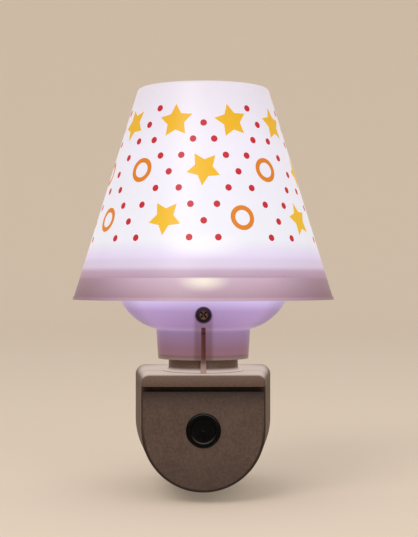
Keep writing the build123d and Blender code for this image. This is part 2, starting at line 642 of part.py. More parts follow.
def neck_post():
    """Hollow post on the head axis: trapped flange, flared foot, key rib, shoulder and screw boss."""
    post = column(POST_FLANGE_RADIUS, POST_FLANGE_BOTTOM, POST_FLANGE_TOP)
    post &= block(
        (-POST_FLANGE_RADIUS, POST_FLANGE_RADIUS),
        (FRONT_WALL_BACK + TOUCH_GAP, AXIS_Y + POST_FLANGE_RADIUS),
        (POST_FLANGE_BOTTOM, POST_FLANGE_TOP),
    )
    post += column(POST_RADIUS, POST_FLANGE_BOTTOM, SHOULDER)
    post += column(UPPER_POST_RADIUS, POST_FLANGE_BOTTOM, POST_TOP)
    post += post_foot()
    post += block(
        (-RIB_WIDTH / 2, RIB_WIDTH / 2),
        (AXIS_Y - RIB_RADIUS, AXIS_Y),
        (TOP_AT_AXIS + TOUCH_GAP, SHOULDER - RUNNING_GAP),
    )
    post -= column(UPPER_POST_RADIUS - POST_WALL, POST_FLANGE_BOTTOM - OVERCUT, POST_TOP - POST_TOP_WALL)
    boss_back = AXIS_Y - UPPER_POST_RADIUS + POST_WALL + POST_BOSS_DEPTH
    post += rod(
        POST_BOSS_RADIUS, AXIS_Y - UPPER_POST_RADIUS + POST_WALL / 2, boss_back, 0, BOWL_SCREW_HEIGHT
    )
    post -= rod(
        SMALL_SCREW_RADIUS + THREAD_FIT,
        AXIS_Y - POST_RADIUS - OVERCUT,
        boss_back + OVERCUT,
        0,
        BOWL_SCREW_HEIGHT,
    )
    for side in (-1, 1):
        post -= column(
            LED_LEAD_RADIUS + LEAD_HOLE_GAP,
            POST_TOP - POST_TOP_WALL - OVERCUT,
            POST_TOP + OVERCUT,
            side * LED_LEAD_SPREAD,
            LED_LEAD_Y,
        )
        post -= column(
            LED_SCREW_RADIUS + THREAD_FIT,
            POST_TOP - POST_TOP_WALL - OVERCUT,
            POST_TOP + OVERCUT,
            side * LED_SCREW_X,
        )
    return post


def shade_inner_radius(height):
    """Inner radius of the shade at one height."""
    return SHADE_RIM_RADIUS - SHADE_SLOPE * (height - SHADE_RIM) - SHADE_WALL_ACROSS


def bowl_section():
    """Half section of the bowl: neck, floor, round wall, flange and collar."""
    inner_radius = BOWL_ARC_RADIUS - BOWL_WALL
    floor_hole = UPPER_POST_RADIUS + SEAT_FIT
    floor_edge = floor_hole + BOWL_FLOOR_LAND
    floor_top = BOWL_EQUATOR - math.sqrt(inner_radius**2 - (floor_edge - BOWL_ARC_MIDDLE) ** 2)
    flange_top = BOWL_EQUATOR + BOWL_WALL
    collar_foot = shade_inner_radius(BOWL_EQUATOR) - SHADE_FIT
    collar_tip = shade_inner_radius(COLLAR_TOP) - SHADE_FIT
    collar_root = shade_inner_radius(flange_top) - SHADE_FIT - COLLAR_WALL
    with BuildSketch(Plane.XZ) as section:
        with BuildLine():
            Line((NECK_BOTTOM_RADIUS, NECK_BOTTOM), (NECK_TOP_RADIUS, NECK_TOP))
            TangentArc((BOWL_RADIUS, BOWL_EQUATOR), (NECK_TOP_RADIUS, NECK_TOP), tangent=(0, -1))
            Polyline(
                (BOWL_RADIUS, BOWL_EQUATOR),
                (collar_foot, BOWL_EQUATOR),
                (collar_tip, COLLAR_TOP),
                (collar_tip - COLLAR_WALL, COLLAR_TOP),
                (collar_root, flange_top),
                (BOWL_RADIUS - BOWL_WALL, flange_top),
                (BOWL_RADIUS - BOWL_WALL, BOWL_EQUATOR),
            )
            TangentArc(
                (BOWL_RADIUS - BOWL_WALL, BOWL_EQUATOR), (floor_edge, floor_top), tangent=(0, -1)
            )
            Polyline(
                (floor_edge, floor_top),
                (floor_hole, floor_top),
                (floor_hole, SHOULDER),
                (NECK_TOP_RADIUS - NECK_WALL, SHOULDER),
                (NECK_BOTTOM_RADIUS - NECK_WALL, NECK_BOTTOM),
                (NECK_BOTTOM_RADIUS, NECK_BOTTOM),
            )
        make_face()
    return section.sketch


def bowl_outside():
    """Solid filled out to the bowl's outer face, which trims what grows inside it."""
    with BuildSketch(Plane.XZ) as section:
        with BuildLine():
            Polyline((0, NECK_BOTTOM), (NECK_BOTTOM_RADIUS, NECK_BOTTOM), (NECK_TOP_RADIUS, NECK_TOP))
            TangentArc((BOWL_RADIUS, BOWL_EQUATOR), (NECK_TOP_RADIUS, NECK_TOP), tangent=(0, -1))
            Polyline((BOWL_RADIUS, BOWL_EQUATOR), (0, BOWL_EQUATOR), (0, NECK_BOTTOM))
        make_face()
    return on_head_axis(section.sketch)


def bowl():
    """Lower diffuser: bowl, neck and collar in one moulding, with screw boss, slot and rib guides."""
    head_bore = BOWL_SCREW_HEAD_RADIUS + BOWL_SCREW_HEAD_GAP
    boss = rod(
        head_bore + BOWL_BOSS_WALL,
        AXIS_Y - BOWL_RADIUS,
        AXIS_Y - UPPER_POST_RADIUS / 2,
        0,
        BOWL_SCREW_HEIGHT,
    )
    # Its inner end follows the post, a little farther off than the hole in the floor
    boss -= column(UPPER_POST_RADIUS + RUNNING_GAP, NECK_BOTTOM, BOWL_EQUATOR)
    body = on_head_axis(bowl_section()) + (boss & bowl_outside())
    body -= rod(
        head_bore, AXIS_Y - BOWL_RADIUS - OVERCUT, AXIS_Y - BOWL_SEAT_RADIUS, 0, BOWL_SCREW_HEIGHT
    )
    body -= rod(
        SMALL_SCREW_RADIUS + SHANK_FIT, AXIS_Y - BOWL_RADIUS, AXIS_Y - POST_RADIUS / 2, 0, BOWL_SCREW_HEIGHT
    )
    for side in (-1, 1):
        guide_sides = sorted((side * GUIDE_OFFSET, side * (GUIDE_OFFSET + GUIDE_WALL)))
        guide = block(guide_sides, (AXIS_Y - NECK_TOP_RADIUS, AXIS_Y), (NECK_BOTTOM, NECK_TOP))
        guide -= column(POST_RADIUS + RUNNING_GAP, NECK_BOTTOM - OVERCUT, NECK_TOP + OVERCUT)
        body += guide & bowl_outside()
    slot_sides = (-NECK_SLOT_WIDTH / 2, NECK_SLOT_WIDTH / 2)
    slot = block(
        slot_sides,
        (AXIS_Y - NECK_TOP_RADIUS - OVERCUT, AXIS_Y - POST_RADIUS),
        (NECK_BOTTOM - OVERCUT, SHOULDER),
    )
    # The slot runs out into the foot of the bowl without breaking through its floor
    run_out = block(
        slot_sides,
        (AXIS_Y - BOWL_RADIUS, AXIS_Y - NECK_TOP_RADIUS + NECK_WALL / 2),
        (SHOULDER - OVERCUT, NECK_TOP + SLOT_RUN_OUT),
    )
    return body - slot - run_out


def bowl_screw():
    """Cross-head screw from the front of the bowl into the post."""
    screw = pan_screw(
        SMALL_SCREW_RADIUS, BOWL_SCREW_LENGTH, BOWL_SCREW_HEAD_RADIUS, BOWL_SCREW_HEAD_HEIGHT
    )
    seat = Pos(0, AXIS_Y - BOWL_SEAT_RADIUS, BOWL_SCREW_HEIGHT)
    return seat * Rot(X=90) * Rot(Z=BOWL_SCREW_TURN) * screw


def led_board():
    """Round LED board on the post's top, with holes for its leads and screws."""
    board = column(LED_BOARD_RADIUS, POST_TOP, LED_BOARD_TOP)
    for side in (-1, 1):
        board -= column(
            LED_SCREW_RADIUS + SHANK_FIT,
            POST_TOP - OVERCUT,
            LED_BOARD_TOP + OVERCUT,
            side * LED_SCREW_X,
        )
    return board


def leds():
    """LED packages in a ring, facing up."""
    package = Pos(0, 0, LED_HEIGHT / 2) * Box(LED_SIZE, LED_SIZE, LED_HEIGHT)
    package = chamfer(package.faces().sort_by(Axis.Z)[-1].edges(), LED_CHAMFER)
    ring = PolarLocations(LED_CIRCLE_RADIUS, LED_COUNT, start_angle=180 / LED_COUNT)
    return [Pos(0, AXIS_Y, LED_BOARD_TOP) * place * package for place in ring]


def led_board_screws():
    """Two small screws that hold the LED board."""
    screw = pan_screw(LED_SCREW_RADIUS, LED_SCREW_LENGTH, LED_SCREW_HEAD_RADIUS, LED_SCREW_HEAD_HEIGHT)
    return [Pos(side * LED_SCREW_X, AXIS_Y, LED_BOARD_TOP) * screw for side in (-1, 1)]


def led_lead(side):
    """Wire from the driver board up through the post to the underside of the LED board."""
    start = BOARD_TOP - LED_PAD_HEIGHT
    return column(LED_LEAD_RADIUS, start, POST_TOP, side * LED_LEAD_SPREAD, LED_LEAD_Y)


def shade():
    """Conical shade, closed at the top, with a rim bead and stop ribs that seat on the collar."""
    inside_top = SHADE_TOP - SHADE_WALL
    bead_top = SHADE_RIM + SHADE_BEAD_HEIGHT
    bead_radius = SHADE_RIM_RADIUS + SHADE_BEAD_DEPTH
    with BuildSketch(Plane.XZ) as section:
        with BuildLine():
            Polyline(
                (shade_inner_radius(SHADE_RIM), SHADE_RIM),
                (bead_radius, SHADE_RIM),
                (bead_radius - SHADE_SLOPE * SHADE_BEAD_HEIGHT, bead_top),
                (SHADE_RIM_RADIUS - SHADE_SLOPE * SHADE_BEAD_HEIGHT, bead_top),
                (SHADE_TOP_RADIUS, SHADE_TOP),
                (0, SHADE_TOP),
                (0, inside_top),
                (shade_inner_radius(inside_top), inside_top),
                close=True,
            )
        make_face()
    cone = on_head_axis(section.sketch)
    cone = fillet(cone.faces().sort_by(Axis.Z)[-1].edges(), SHADE_TOP_ROUND)
    rib_bottom = COLLAR_TOP + TOUCH_GAP
    rib_tip = shade_inner_radius(rib_bottom + STOP_RIB_HEIGHT) - STOP_RIB_DEPTH
    rib = block(
        (rib_tip, SHADE_RIM_RADIUS),
        (-STOP_RIB_WIDTH / 2, STOP_RIB_WIDTH / 2),
        (rib_bottom, rib_bottom + STOP_RIB_HEIGHT),
    )
    mid_wall = Cone(
        SHADE_RIM_RADIUS - SHADE_WALL / 2, SHADE_TOP_RADIUS - SHADE_WALL / 2, SHADE_HEIGHT
    )
    rib &= Pos(0, 0, SHADE_RIM + SHADE_HEIGHT / 2) * mid_wall
    for turn in PolarLocations(0, STOP_RIB_COUNT, start_angle=180 / STOP_RIB_COUNT):
        cone += Pos(0, AXIS_Y, 0) * turn * rib
    return cone


NODES = {
    "shade": shade,
    "bowl": bowl,
    "bowl_screw": bowl_screw,
    "neck_post": neck_post,
    "led_board": led_board,
    "leds": leds,
    "led_board_screws": led_board_screws,
    "led_lead_positive": lambda: led_lead(1),
    "led_lead_negative": lambda: led_lead(-1),
    "front_shell": front_shell,
    "rear_shell": rear_shell,
    "housing_screws": housing_screws,
    "face_plate": face_plate,
    "power_button": power_button,
    "switch_plunger": switch_plunger,
    "push_switch": push_switch,
    "driver_board": driver_board,
    "board_screws": board_screws,
    "film_capacitor": film_capacitor,
    "electrolytic_capacitor": electrolytic_capacitor,
    "rectifier": rectifier,
    "fuse_resistor": fuse_resistor,
    "live_pin": lambda: plug_pin(1),
    "neutral_pin": lambda: plug_pin(-1),
    "live_lead": lambda: plug_lead(1),
    "neutral_lead": lambda: plug_lead(-1),
}


def main():
    os.makedirs("parts", exist_ok=True)
    for name, make in NODES.items():
        made = make()
        solids = made if isinstance(made, list) else [made]
        export_step(Compound(children=solids), f"parts/{name}.step")
        print(name, round(sum(solid.volume for solid in solids), 1), "mm3")


if __name__ == "__main__":
    main()
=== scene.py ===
"""Looks of a plug-in night light with a conical shade: finishes, LED details, stage, light and camera.

Places that come from the frame are in metres. Sizes of finishes are in millimetres, made metres by MM.
"""
import logging
import math
from collections.abc import Callable
from dataclasses import dataclass
from enum import Enum
from functools import partial

import bpy
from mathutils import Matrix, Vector


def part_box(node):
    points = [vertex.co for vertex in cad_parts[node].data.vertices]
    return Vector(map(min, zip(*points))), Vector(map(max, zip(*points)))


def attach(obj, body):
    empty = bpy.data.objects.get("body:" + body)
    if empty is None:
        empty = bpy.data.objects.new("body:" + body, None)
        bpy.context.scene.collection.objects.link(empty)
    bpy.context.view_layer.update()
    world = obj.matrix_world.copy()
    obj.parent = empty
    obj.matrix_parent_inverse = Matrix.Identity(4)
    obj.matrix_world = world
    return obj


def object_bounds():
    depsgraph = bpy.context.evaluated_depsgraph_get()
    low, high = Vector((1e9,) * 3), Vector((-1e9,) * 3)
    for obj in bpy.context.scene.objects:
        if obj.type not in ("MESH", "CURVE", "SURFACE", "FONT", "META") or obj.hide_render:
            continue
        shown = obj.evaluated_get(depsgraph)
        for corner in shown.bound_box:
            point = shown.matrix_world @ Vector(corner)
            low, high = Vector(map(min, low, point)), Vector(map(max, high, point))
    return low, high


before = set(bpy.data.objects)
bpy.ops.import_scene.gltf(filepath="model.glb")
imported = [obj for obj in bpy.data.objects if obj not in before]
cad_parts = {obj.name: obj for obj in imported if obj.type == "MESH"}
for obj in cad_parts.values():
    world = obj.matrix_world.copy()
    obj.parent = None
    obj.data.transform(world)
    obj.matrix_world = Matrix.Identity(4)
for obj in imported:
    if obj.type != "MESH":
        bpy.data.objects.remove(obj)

LOG = logging.getLogger("night_light")
CAD_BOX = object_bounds()
MM = 0.001
FULL_TURN = 2 * math.pi
SMOOTH = {"interpolation_type": "SMOOTHSTEP"}
WHITE = "#ffffff"
Span = tuple[float, float]
Place = tuple[float, float, float]
Object = bpy.types.Object
Node = bpy.types.Node
Feed = Node | bpy.types.NodeSocket | float | tuple
Feeds = dict[str, Feed]
Adder = Callable[..., Node]


def colour(code: str) -> tuple[float, float, float, float]:
    """Turn an sRGB hex value into linear colour.

    Args:
        code: Colour such as "#f4edfd".

    Returns:
        Linear red, green and blue with an alpha of 1.
    """
    channels = [int(code[start:start + 2], 16) / 255 for start in (1, 3, 5)]
    linear = [c / 12.92 if c <= 0.04045 else ((c + 0.055) / 1.055) ** 2.4 for c in channels]
    return (*linear, 1.0)


def add_node(tree: bpy.types.NodeTree, kind: str, *numbered: Feed, **named: object) -> Node:
    """Add a shader node with its settings and links.

    Args:
        tree: Node tree that gets the node.
        kind: Node type without its ShaderNode prefix, or, in capitals, the operation of a Math node.
        numbered: What goes into the first inputs: a socket, a value, or a node for its first output.
        named: What goes into other inputs, in the same way, and the node's properties.

    Returns:
        The new node.
    """
    node = tree.nodes.new("ShaderNode" + ("Math" if kind.isupper() else kind))
    if kind.isupper():
        node.operation = kind
    inputs = dict(enumerate(numbered))
    for name, given in named.items():
        if name in node.inputs:
            inputs[name] = given
        else:
            setattr(node, name, given)
    for key, given in inputs.items():
        value = given.outputs[0] if isinstance(given, Node) else given
        if isinstance(value, bpy.types.NodeSocket):
            tree.links.new(value, node.inputs[key])
        else:
            node.inputs[key].default_value = value
    return node


@dataclass(frozen=True)
class Stop:
    """Colour at one place along a line, in millimetres from the line's zero."""

    place: float
    colour: str


def colour_along(add: Adder, place: Feed, stops: tuple[Stop, ...]) -> Node:
    """Make a colour that changes along a line.

    Args:
        add: Adds a node.
        place: Place along the line, in metres from its zero.
        stops: Colours along the line, in order.

    Returns:
        Node whose first output is the colour.
    """
    low, high = stops[0].place, stops[-1].place
    share = add("MapRange", place, low * MM, high * MM)
    ramp = add("ValToRGB", share)
    for stop in stops[1:-1]:
        ramp.color_ramp.elements.new((stop.place - low) / (high - low))
    for element, stop in zip(ramp.color_ramp.elements, stops):
        element.color = colour(stop.colour)
    return ramp


def distance_in_plane(add: Adder, across: Feed, up: Feed) -> bpy.types.NodeSocket:
    """Give a socket with the distance of a place in a plane from the plane's zero."""
    flat = add("CombineXYZ", across, up)
    return add("VectorMath", flat, operation="LENGTH").outputs["Value"]


def soft_spot(add: Adder, place: Feed, centre: Place, reach: Place) -> Node:
    """Make a factor that falls off smoothly around a point.

    Args:
        add: Adds a node.
        place: Place on the surface, in metres.
        centre: Middle of the spot, in metres.
        reach: Distance along each axis at which the spot ends, in millimetres.

    Returns:
        Node whose first output is 1 at the centre and 0 past the reach.
    """
    size = tuple(length * MM for length in reach)
    local = add("Mapping", place, centre, Scale=size, vector_type="TEXTURE")
    distance = add("VectorMath", local, operation="LENGTH").outputs["Value"]
    return add("MapRange", distance, 0.0, 1.0, 1.0, 0.0, **SMOOTH)


class Grain(Enum):
    """Grain of a moulded surface: its spacing and its depth."""

    POLISHED = (1.5 * MM, 0.002 * MM)
    SATIN = (0.8 * MM, 0.01 * MM)
    # Spark-eroded grain is about 0.2 mm, drawn coarser here so that it shows in the render
    SPARK = (0.75 * MM, 0.05 * MM)


@dataclass(frozen=True)
class Finish:
    """Start of every finish: a node material around one Principled shader."""

    name: str

    def material(self) -> bpy.types.Material:
        """Give the material, made at its first use.

        Returns:
            The material.
        """
        made = bpy.data.materials.get(self.name)
        if made is None:
            made = bpy.data.materials.new(self.name)
            made.use_nodes = True
            made.node_tree.nodes.clear()
            add = partial(add_node, made.node_tree)
            add("OutputMaterial", add("BsdfPrincipled", **self.wire(add)))
        return made

    def wire(self, add: Adder) -> Feeds:
        """Make the finish's nodes and give the shader's inputs."""
        raise NotImplementedError

    def dress(self, *nodes: str) -> None:
        """Put the material on CAD nodes.

        Args:
            nodes: Names of the nodes.
        """
        for name in nodes:
            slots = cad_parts[name].data.materials
            slots.clear()
            slots.append(self.material())
            LOG.info("%s wears %s", name, self.name)


@dataclass(frozen=True)
class MouldedPlastic(Finish):
    """Opaque injection-moulded plastic: cloudy colour, moulded grain, soft edges lightened by wear and a
    painted highlight, and painted shade in crevices.
    """

    shade: str
    light: str
    grain: Grain
    roughness: float
    ior: float = 1.54
    specular: float = 0.5
    cloud_size: float = 9.0
    cloud_share: float = 0.35
    tone_range: Span = (0.45, 0.9)
    edge_round: float = 0.25
    edge_highlight_tone: str = "#d8cfc8"
    edge_wear_and_highlight: float = 0.03
    edge_bend: float = 0.8
    crevice_shade_reach: float = 3.5
    crevice_shade_range: Span = (0.35, 0.8)
    crevice_shade_tone: float = 0.03
    gloss_spread: float = 0.08

    def wire(self, add: Adder) -> Feeds:
        """Make the plastic's nodes.

        Args:
            add: Adds a node.

        Returns:
            The shader's inputs.
        """
        position = add("TexCoord").outputs["Object"]
        cloud = add("TexNoise", position, Scale=1 / (self.cloud_size * MM), Detail=3.0)
        spacing, depth = self.grain.value
        grain = add("TexNoise", position, Scale=1 / spacing, Detail=2.0)
        tone = add("MULTIPLY_ADD", cloud, self.cloud_share, grain)
        share = add("MapRange", tone, *self.tone_range)
        even = add("MixRGB", share, colour(self.shade), colour(self.light))
        body = self.shadowed(add, position, even)
        # Edges of a moulding are never sharp; their tone is lightened a little, partly as handling wear
        # and partly as a painted highlight
        soft = add("Bevel", self.edge_round * MM, samples=4)
        flat = add("NewGeometry").outputs["Normal"]
        agree = add("VectorMath", soft, flat, operation="DOT_PRODUCT").outputs["Value"]
        edge = add("MapRange", agree, 1.0, self.edge_bend, 0.0, self.edge_wear_and_highlight)
        worn_and_highlit = add("MixRGB", edge, body, colour(self.edge_highlight_tone))
        # Painted shade darkens the gaps between mouldings
        crevice = add("AmbientOcclusion", Distance=self.crevice_shade_reach * MM, samples=6)
        unshaded_share = add("MapRange", crevice.outputs["AO"], *self.crevice_shade_range, self.crevice_shade_tone)
        crevice_shaded = add("MixRGB", 1.0, worn_and_highlit, unshaded_share, blend_type="MULTIPLY")
        smoothest, roughest = self.roughness - self.gloss_spread, self.roughness + self.gloss_spread
        gloss = add("MapRange", grain, 0.0, 1.0, smoothest, roughest)
        relief = add("Bump", 1.0, depth, Height=grain, Normal=soft)
        feeds = {"Base Color": crevice_shaded, "Roughness": gloss, "IOR": self.ior, "Normal": relief}
        feeds["Specular IOR Level"] = self.specular
        return feeds | self.thrown_light(add, position, soft)

    def shadowed(self, add: Adder, position: Feed, body: Node) -> Node:
        """Darken the body colour where the moulding lies in shadow; a plain moulding stays even."""
        return body

    def thrown_light(self, add: Adder, position: Feed, soft: Feed) -> Feeds:
        """Make the light that the lamp throws on the surface; a plain moulding gets none."""
        return {}


@dataclass(frozen=True)
class LampLitPlastic(MouldedPlastic):
    """Moulded plastic under the lit head: what faces up near the head axis takes the lamp's light.

    Heights count from the top of the base. Upright faces take a share that grows from one height to
    another. A rib in the slot of the head can have its own light.
    """

    axis_y: float = 0.0
    top: float = 0.0
    lit: str = "#beb0a8"
    near: float = 22.0
    far: float = 48.0
    least_upward: float = 0.15
    spill: float = 0.0
    spill_start: float = 0.0
    spill_full: float = 1.0
    corner_reach: float = 1.6
    rib_light: tuple[Stop, ...] = ()
    rib_half_width: float = 0.95
    rib_start: float = 10.8

    def thrown_light(self, add: Adder, position: Feed, soft: Feed) -> Feeds:
        """Make the lamp's light, by how far a face looks up and how near it is to the head axis.

        Args:
            add: Adds a node.
            position: Place on the surface, in metres.
            soft: Node with the normal across softened edges.

        Returns:
            The shader's inputs.
        """
        local = add("Mapping", position, (0.0, -self.axis_y, -self.top))
        x, y, z = add("SeparateXYZ", local).outputs
        upward = add("SeparateXYZ", soft).outputs["Z"]
        facing = add("MapRange", upward, self.least_upward, **SMOOTH)
        start, full = self.spill_start * MM, self.spill_full * MM
        over_edge = add("MapRange", z, start, full, 0.0, self.spill)
        caught = add("MAXIMUM", facing, over_edge)
        near, far = self.near * MM, self.far * MM
        from_axis = distance_in_plane(add, x, y)
        nearness = add("MapRange", from_axis, near, far, 1.0, 0.0, **SMOOTH)
        corner = add("AmbientOcclusion", Distance=self.corner_reach * MM, samples=6)
        share = add("MULTIPLY", add("MULTIPLY", caught, nearness), corner.outputs["AO"])
        light = add("MixRGB", 1.0, colour(self.lit), share, blend_type="MULTIPLY")
        if self.rib_light:
            # The rib at the front of the post takes the light that reaches it through the slot
            aside = add("ABSOLUTE", x)
            narrow = add("LESS_THAN", aside, self.rib_half_width * MM)
            in_front = add("LESS_THAN", y, -self.rib_start * MM)
            on_rib = add("MULTIPLY", narrow, in_front)
            light = add("MixRGB", on_rib, light, colour_along(add, z, self.rib_light))
        return {"Emission Color": light, "Emission Strength": 1.0}


@dataclass(frozen=True)
class BrowShadedPlastic(MouldedPlastic):
    """Moulded plate under a brow: darker near the brow, which keeps light off it, and round its edge."""

    brow_edge: float = 0.0
    shadow: tuple[Stop, ...] = ()
    half_width: float = 0.02
    edge_band: float = 0.7
    edge_shade: float = 0.2
    edge_fade: Span = (-4.0, 2.0)

    def shadowed(self, add: Adder, position: Feed, body: Node) -> Node:
        """Darken the plate towards the brow and in a thin band round its lower edge.

        Args:
            add: Adds a node.
            position: Place on the surface, in metres.
            body: Node with the body colour.

        Returns:
            Node with the darkened colour.
        """
        x, _, z = add("SeparateXYZ", position).outputs
        below_brow = add("SUBTRACT", z, self.brow_edge)
        under_brow = colour_along(add, below_brow, self.shadow)
        lower = add("MINIMUM", z, 0.0)
        reach = distance_in_plane(add, x, lower)
        band_start = self.half_width - self.edge_band * MM
        band_middle = self.half_width - self.edge_band / 2 * MM
        rim = add("MapRange", reach, band_start, band_middle, 1.0, self.edge_shade)
        fade_start, fade_end = self.edge_fade
        faded = add("MapRange", z, fade_start * MM, fade_end * MM)
        edge = add("MAXIMUM", rim, faded)
        depth = add("MixRGB", 1.0, under_brow, edge, blend_type="MULTIPLY")
        return add("MixRGB", 1.0, body, depth, blend_type="MULTIPLY")


@dataclass(frozen=True)
class PlatedMetal(Finish):
    """Plated or burnished metal: fine turning marks, uneven gloss and painted shade in recesses."""

    tone: str
    roughness: float
    gloss_spread: float = 0.1
    mark_spacing: float = 0.4
    mark_stretch: float = 6.0
    mark_depth: float = 0.004
    recess_shade_reach: float = 0.3
    recess_shade_range: Span = (0.4, 0.9)
    recess_shade_tone: float = 0.05

    def wire(self, add: Adder) -> Feeds:
        """Make the metal's nodes.

        Args:
            add: Adds a node.

        Returns:
            The shader's inputs.
        """
        position = add("TexCoord").outputs["Object"]
        stretched = add("Mapping", position, Scale=(1.0, self.mark_stretch, 1.0))
        marks = add("TexNoise", stretched, Scale=1 / (self.mark_spacing * MM), Detail=3.0)
        smoothest, roughest = self.roughness - self.gloss_spread, self.roughness + self.gloss_spread
        gloss = add("MapRange", marks, 0.0, 1.0, smoothest, roughest)
        relief = add("Bump", Height=marks, Distance=self.mark_depth * MM)
        # Painted shade darkens a recess, such as a screw's cross
        recess = add("AmbientOcclusion", Distance=self.recess_shade_reach * MM, samples=8)
        unshaded_share = add("MapRange", recess.outputs["AO"], *self.recess_shade_range, self.recess_shade_tone)
        tone = add("MixRGB", 1.0, colour(self.tone), unshaded_share, blend_type="MULTIPLY")
        return {"Base Color": tone, "Metallic": 1.0, "Roughness": gloss, "Normal": relief}


@dataclass(frozen=True)
class WireCover(Finish):
    """Extruded PVC wire cover: even colour, a faint waviness and a soft gloss."""

    tone: str
    wave_size: float = 0.5
    wave_depth: float = 0.01
    gloss_range: Span = (0.35, 0.5)
    ior: float = 1.53

    def wire(self, add: Adder) -> Feeds:
        """Make the cover's nodes.

        Args:
            add: Adds a node.

        Returns:
            The shader's inputs.
        """
        position = add("TexCoord").outputs["Object"]
        waves = add("TexNoise", position, Scale=1 / (self.wave_size * MM), Detail=1.0)
        gloss = add("MapRange", waves, 0.0, 1.0, *self.gloss_range)
        relief = add("Bump", Height=waves, Distance=self.wave_depth * MM)
        return {"Base Color": colour(self.tone), "Roughness": gloss, "IOR": self.ior, "Normal": relief}


@dataclass(frozen=True)
class BoardLaminate(Finish):
    """Glass-epoxy board: solder mask over a woven cloth, with paler copper runs under the mask."""

    mask: str
    copper_run: str
    run_pitch: float = 4.0
    run_share: float = 0.08
    weave_pitch: float = 0.5
    relief_depth: float = 0.01
    mask_gloss: float = 0.4
    run_gloss: float = 0.3
    ior: float = 1.55

    def wire(self, add: Adder) -> Feeds:
        """Make the laminate's nodes.

        Args:
            add: Adds a node.

        Returns:
            The shader's inputs.
        """
        position = add("TexCoord").outputs["Object"]
        runs = add("TexVoronoi", position, Scale=1 / (self.run_pitch * MM), feature="DISTANCE_TO_EDGE")
        on_run = add("LESS_THAN", runs, self.run_share)
        tone = add("MixRGB", on_run, colour(self.mask), colour(self.copper_run))
        weave = add("TexChecker", position, Scale=1 / (self.weave_pitch * MM)).outputs["Fac"]
        height = add("ADD", weave, on_run)
        relief = add("Bump", Height=height, Distance=self.relief_depth * MM)
        gloss = add("MapRange", on_run, 0.0, 1.0, self.mask_gloss, self.run_gloss)
        return {"Base Color": tone, "Roughness": gloss, "IOR": self.ior, "Normal": relief}


@dataclass(frozen=True)
class BandedEnamel(Finish):
    """Enamelled resistor body: plain coat with painted bands across it."""

    start: float
    bands: tuple[Stop, ...]
    peel_size: float = 0.6
    peel_depth: float = 0.02
    roughness: float = 0.3
    ior: float = 1.5

    def wire(self, add: Adder) -> Feeds:
        """Make the enamel's nodes.

        Args:
            add: Adds a node.

        Returns:
            The shader's inputs.
        """
        position = add("TexCoord").outputs["Object"]
        x, _, _ = add("SeparateXYZ", position).outputs
        along = add("SUBTRACT", x, self.start)
        tone = colour_along(add, along, self.bands)
        tone.color_ramp.interpolation = "CONSTANT"
        peel = add("TexNoise", position, Scale=1 / (self.peel_size * MM))
        relief = add("Bump", Height=peel, Distance=self.peel_depth * MM)
        return {"Base Color": tone, "Roughness": self.roughness, "IOR": self.ior, "Normal": relief}


@dataclass(frozen=True)
class Phosphor(Finish):
    """Silicone lens with phosphor powder, lit from within: pale yellow, speckled by the powder."""

    tone: str
    glow: str
    powder_size: float = 0.15
    roughness: float = 0.35
    ior: float = 1.41
    strength: float = 0.8

    def wire(self, add: Adder) -> Feeds:
        """Make the phosphor's nodes.

        Args:
            add: Adds a node.

        Returns:
            The shader's inputs.
        """
        position = add("TexCoord").outputs["Object"]
        powder = add("TexNoise", position, Scale=1 / (self.powder_size * MM), Detail=2.0)
        shine = add("MixRGB", powder, colour(self.tone), colour(self.glow))
        feeds = {"Base Color": colour(self.tone), "Roughness": self.roughness, "IOR": self.ior}
        return feeds | {"Emission Color": shine, "Emission Strength": self.strength}


@dataclass(frozen=True)
class PrintLayer:
    """Staggered rows of one printed motif around the shade; the first row's height is above the rim."""

    columns: int
    row_pitch: float
    first: float
    rows: int
    seed: float


@dataclass(frozen=True)
class Cell:
    """Nodes that place a point in its cell of a print layer."""

    across: Node
    up: Node
    key: Node
    printed: Node
    middle_turn: Node
    middle_rise: Node


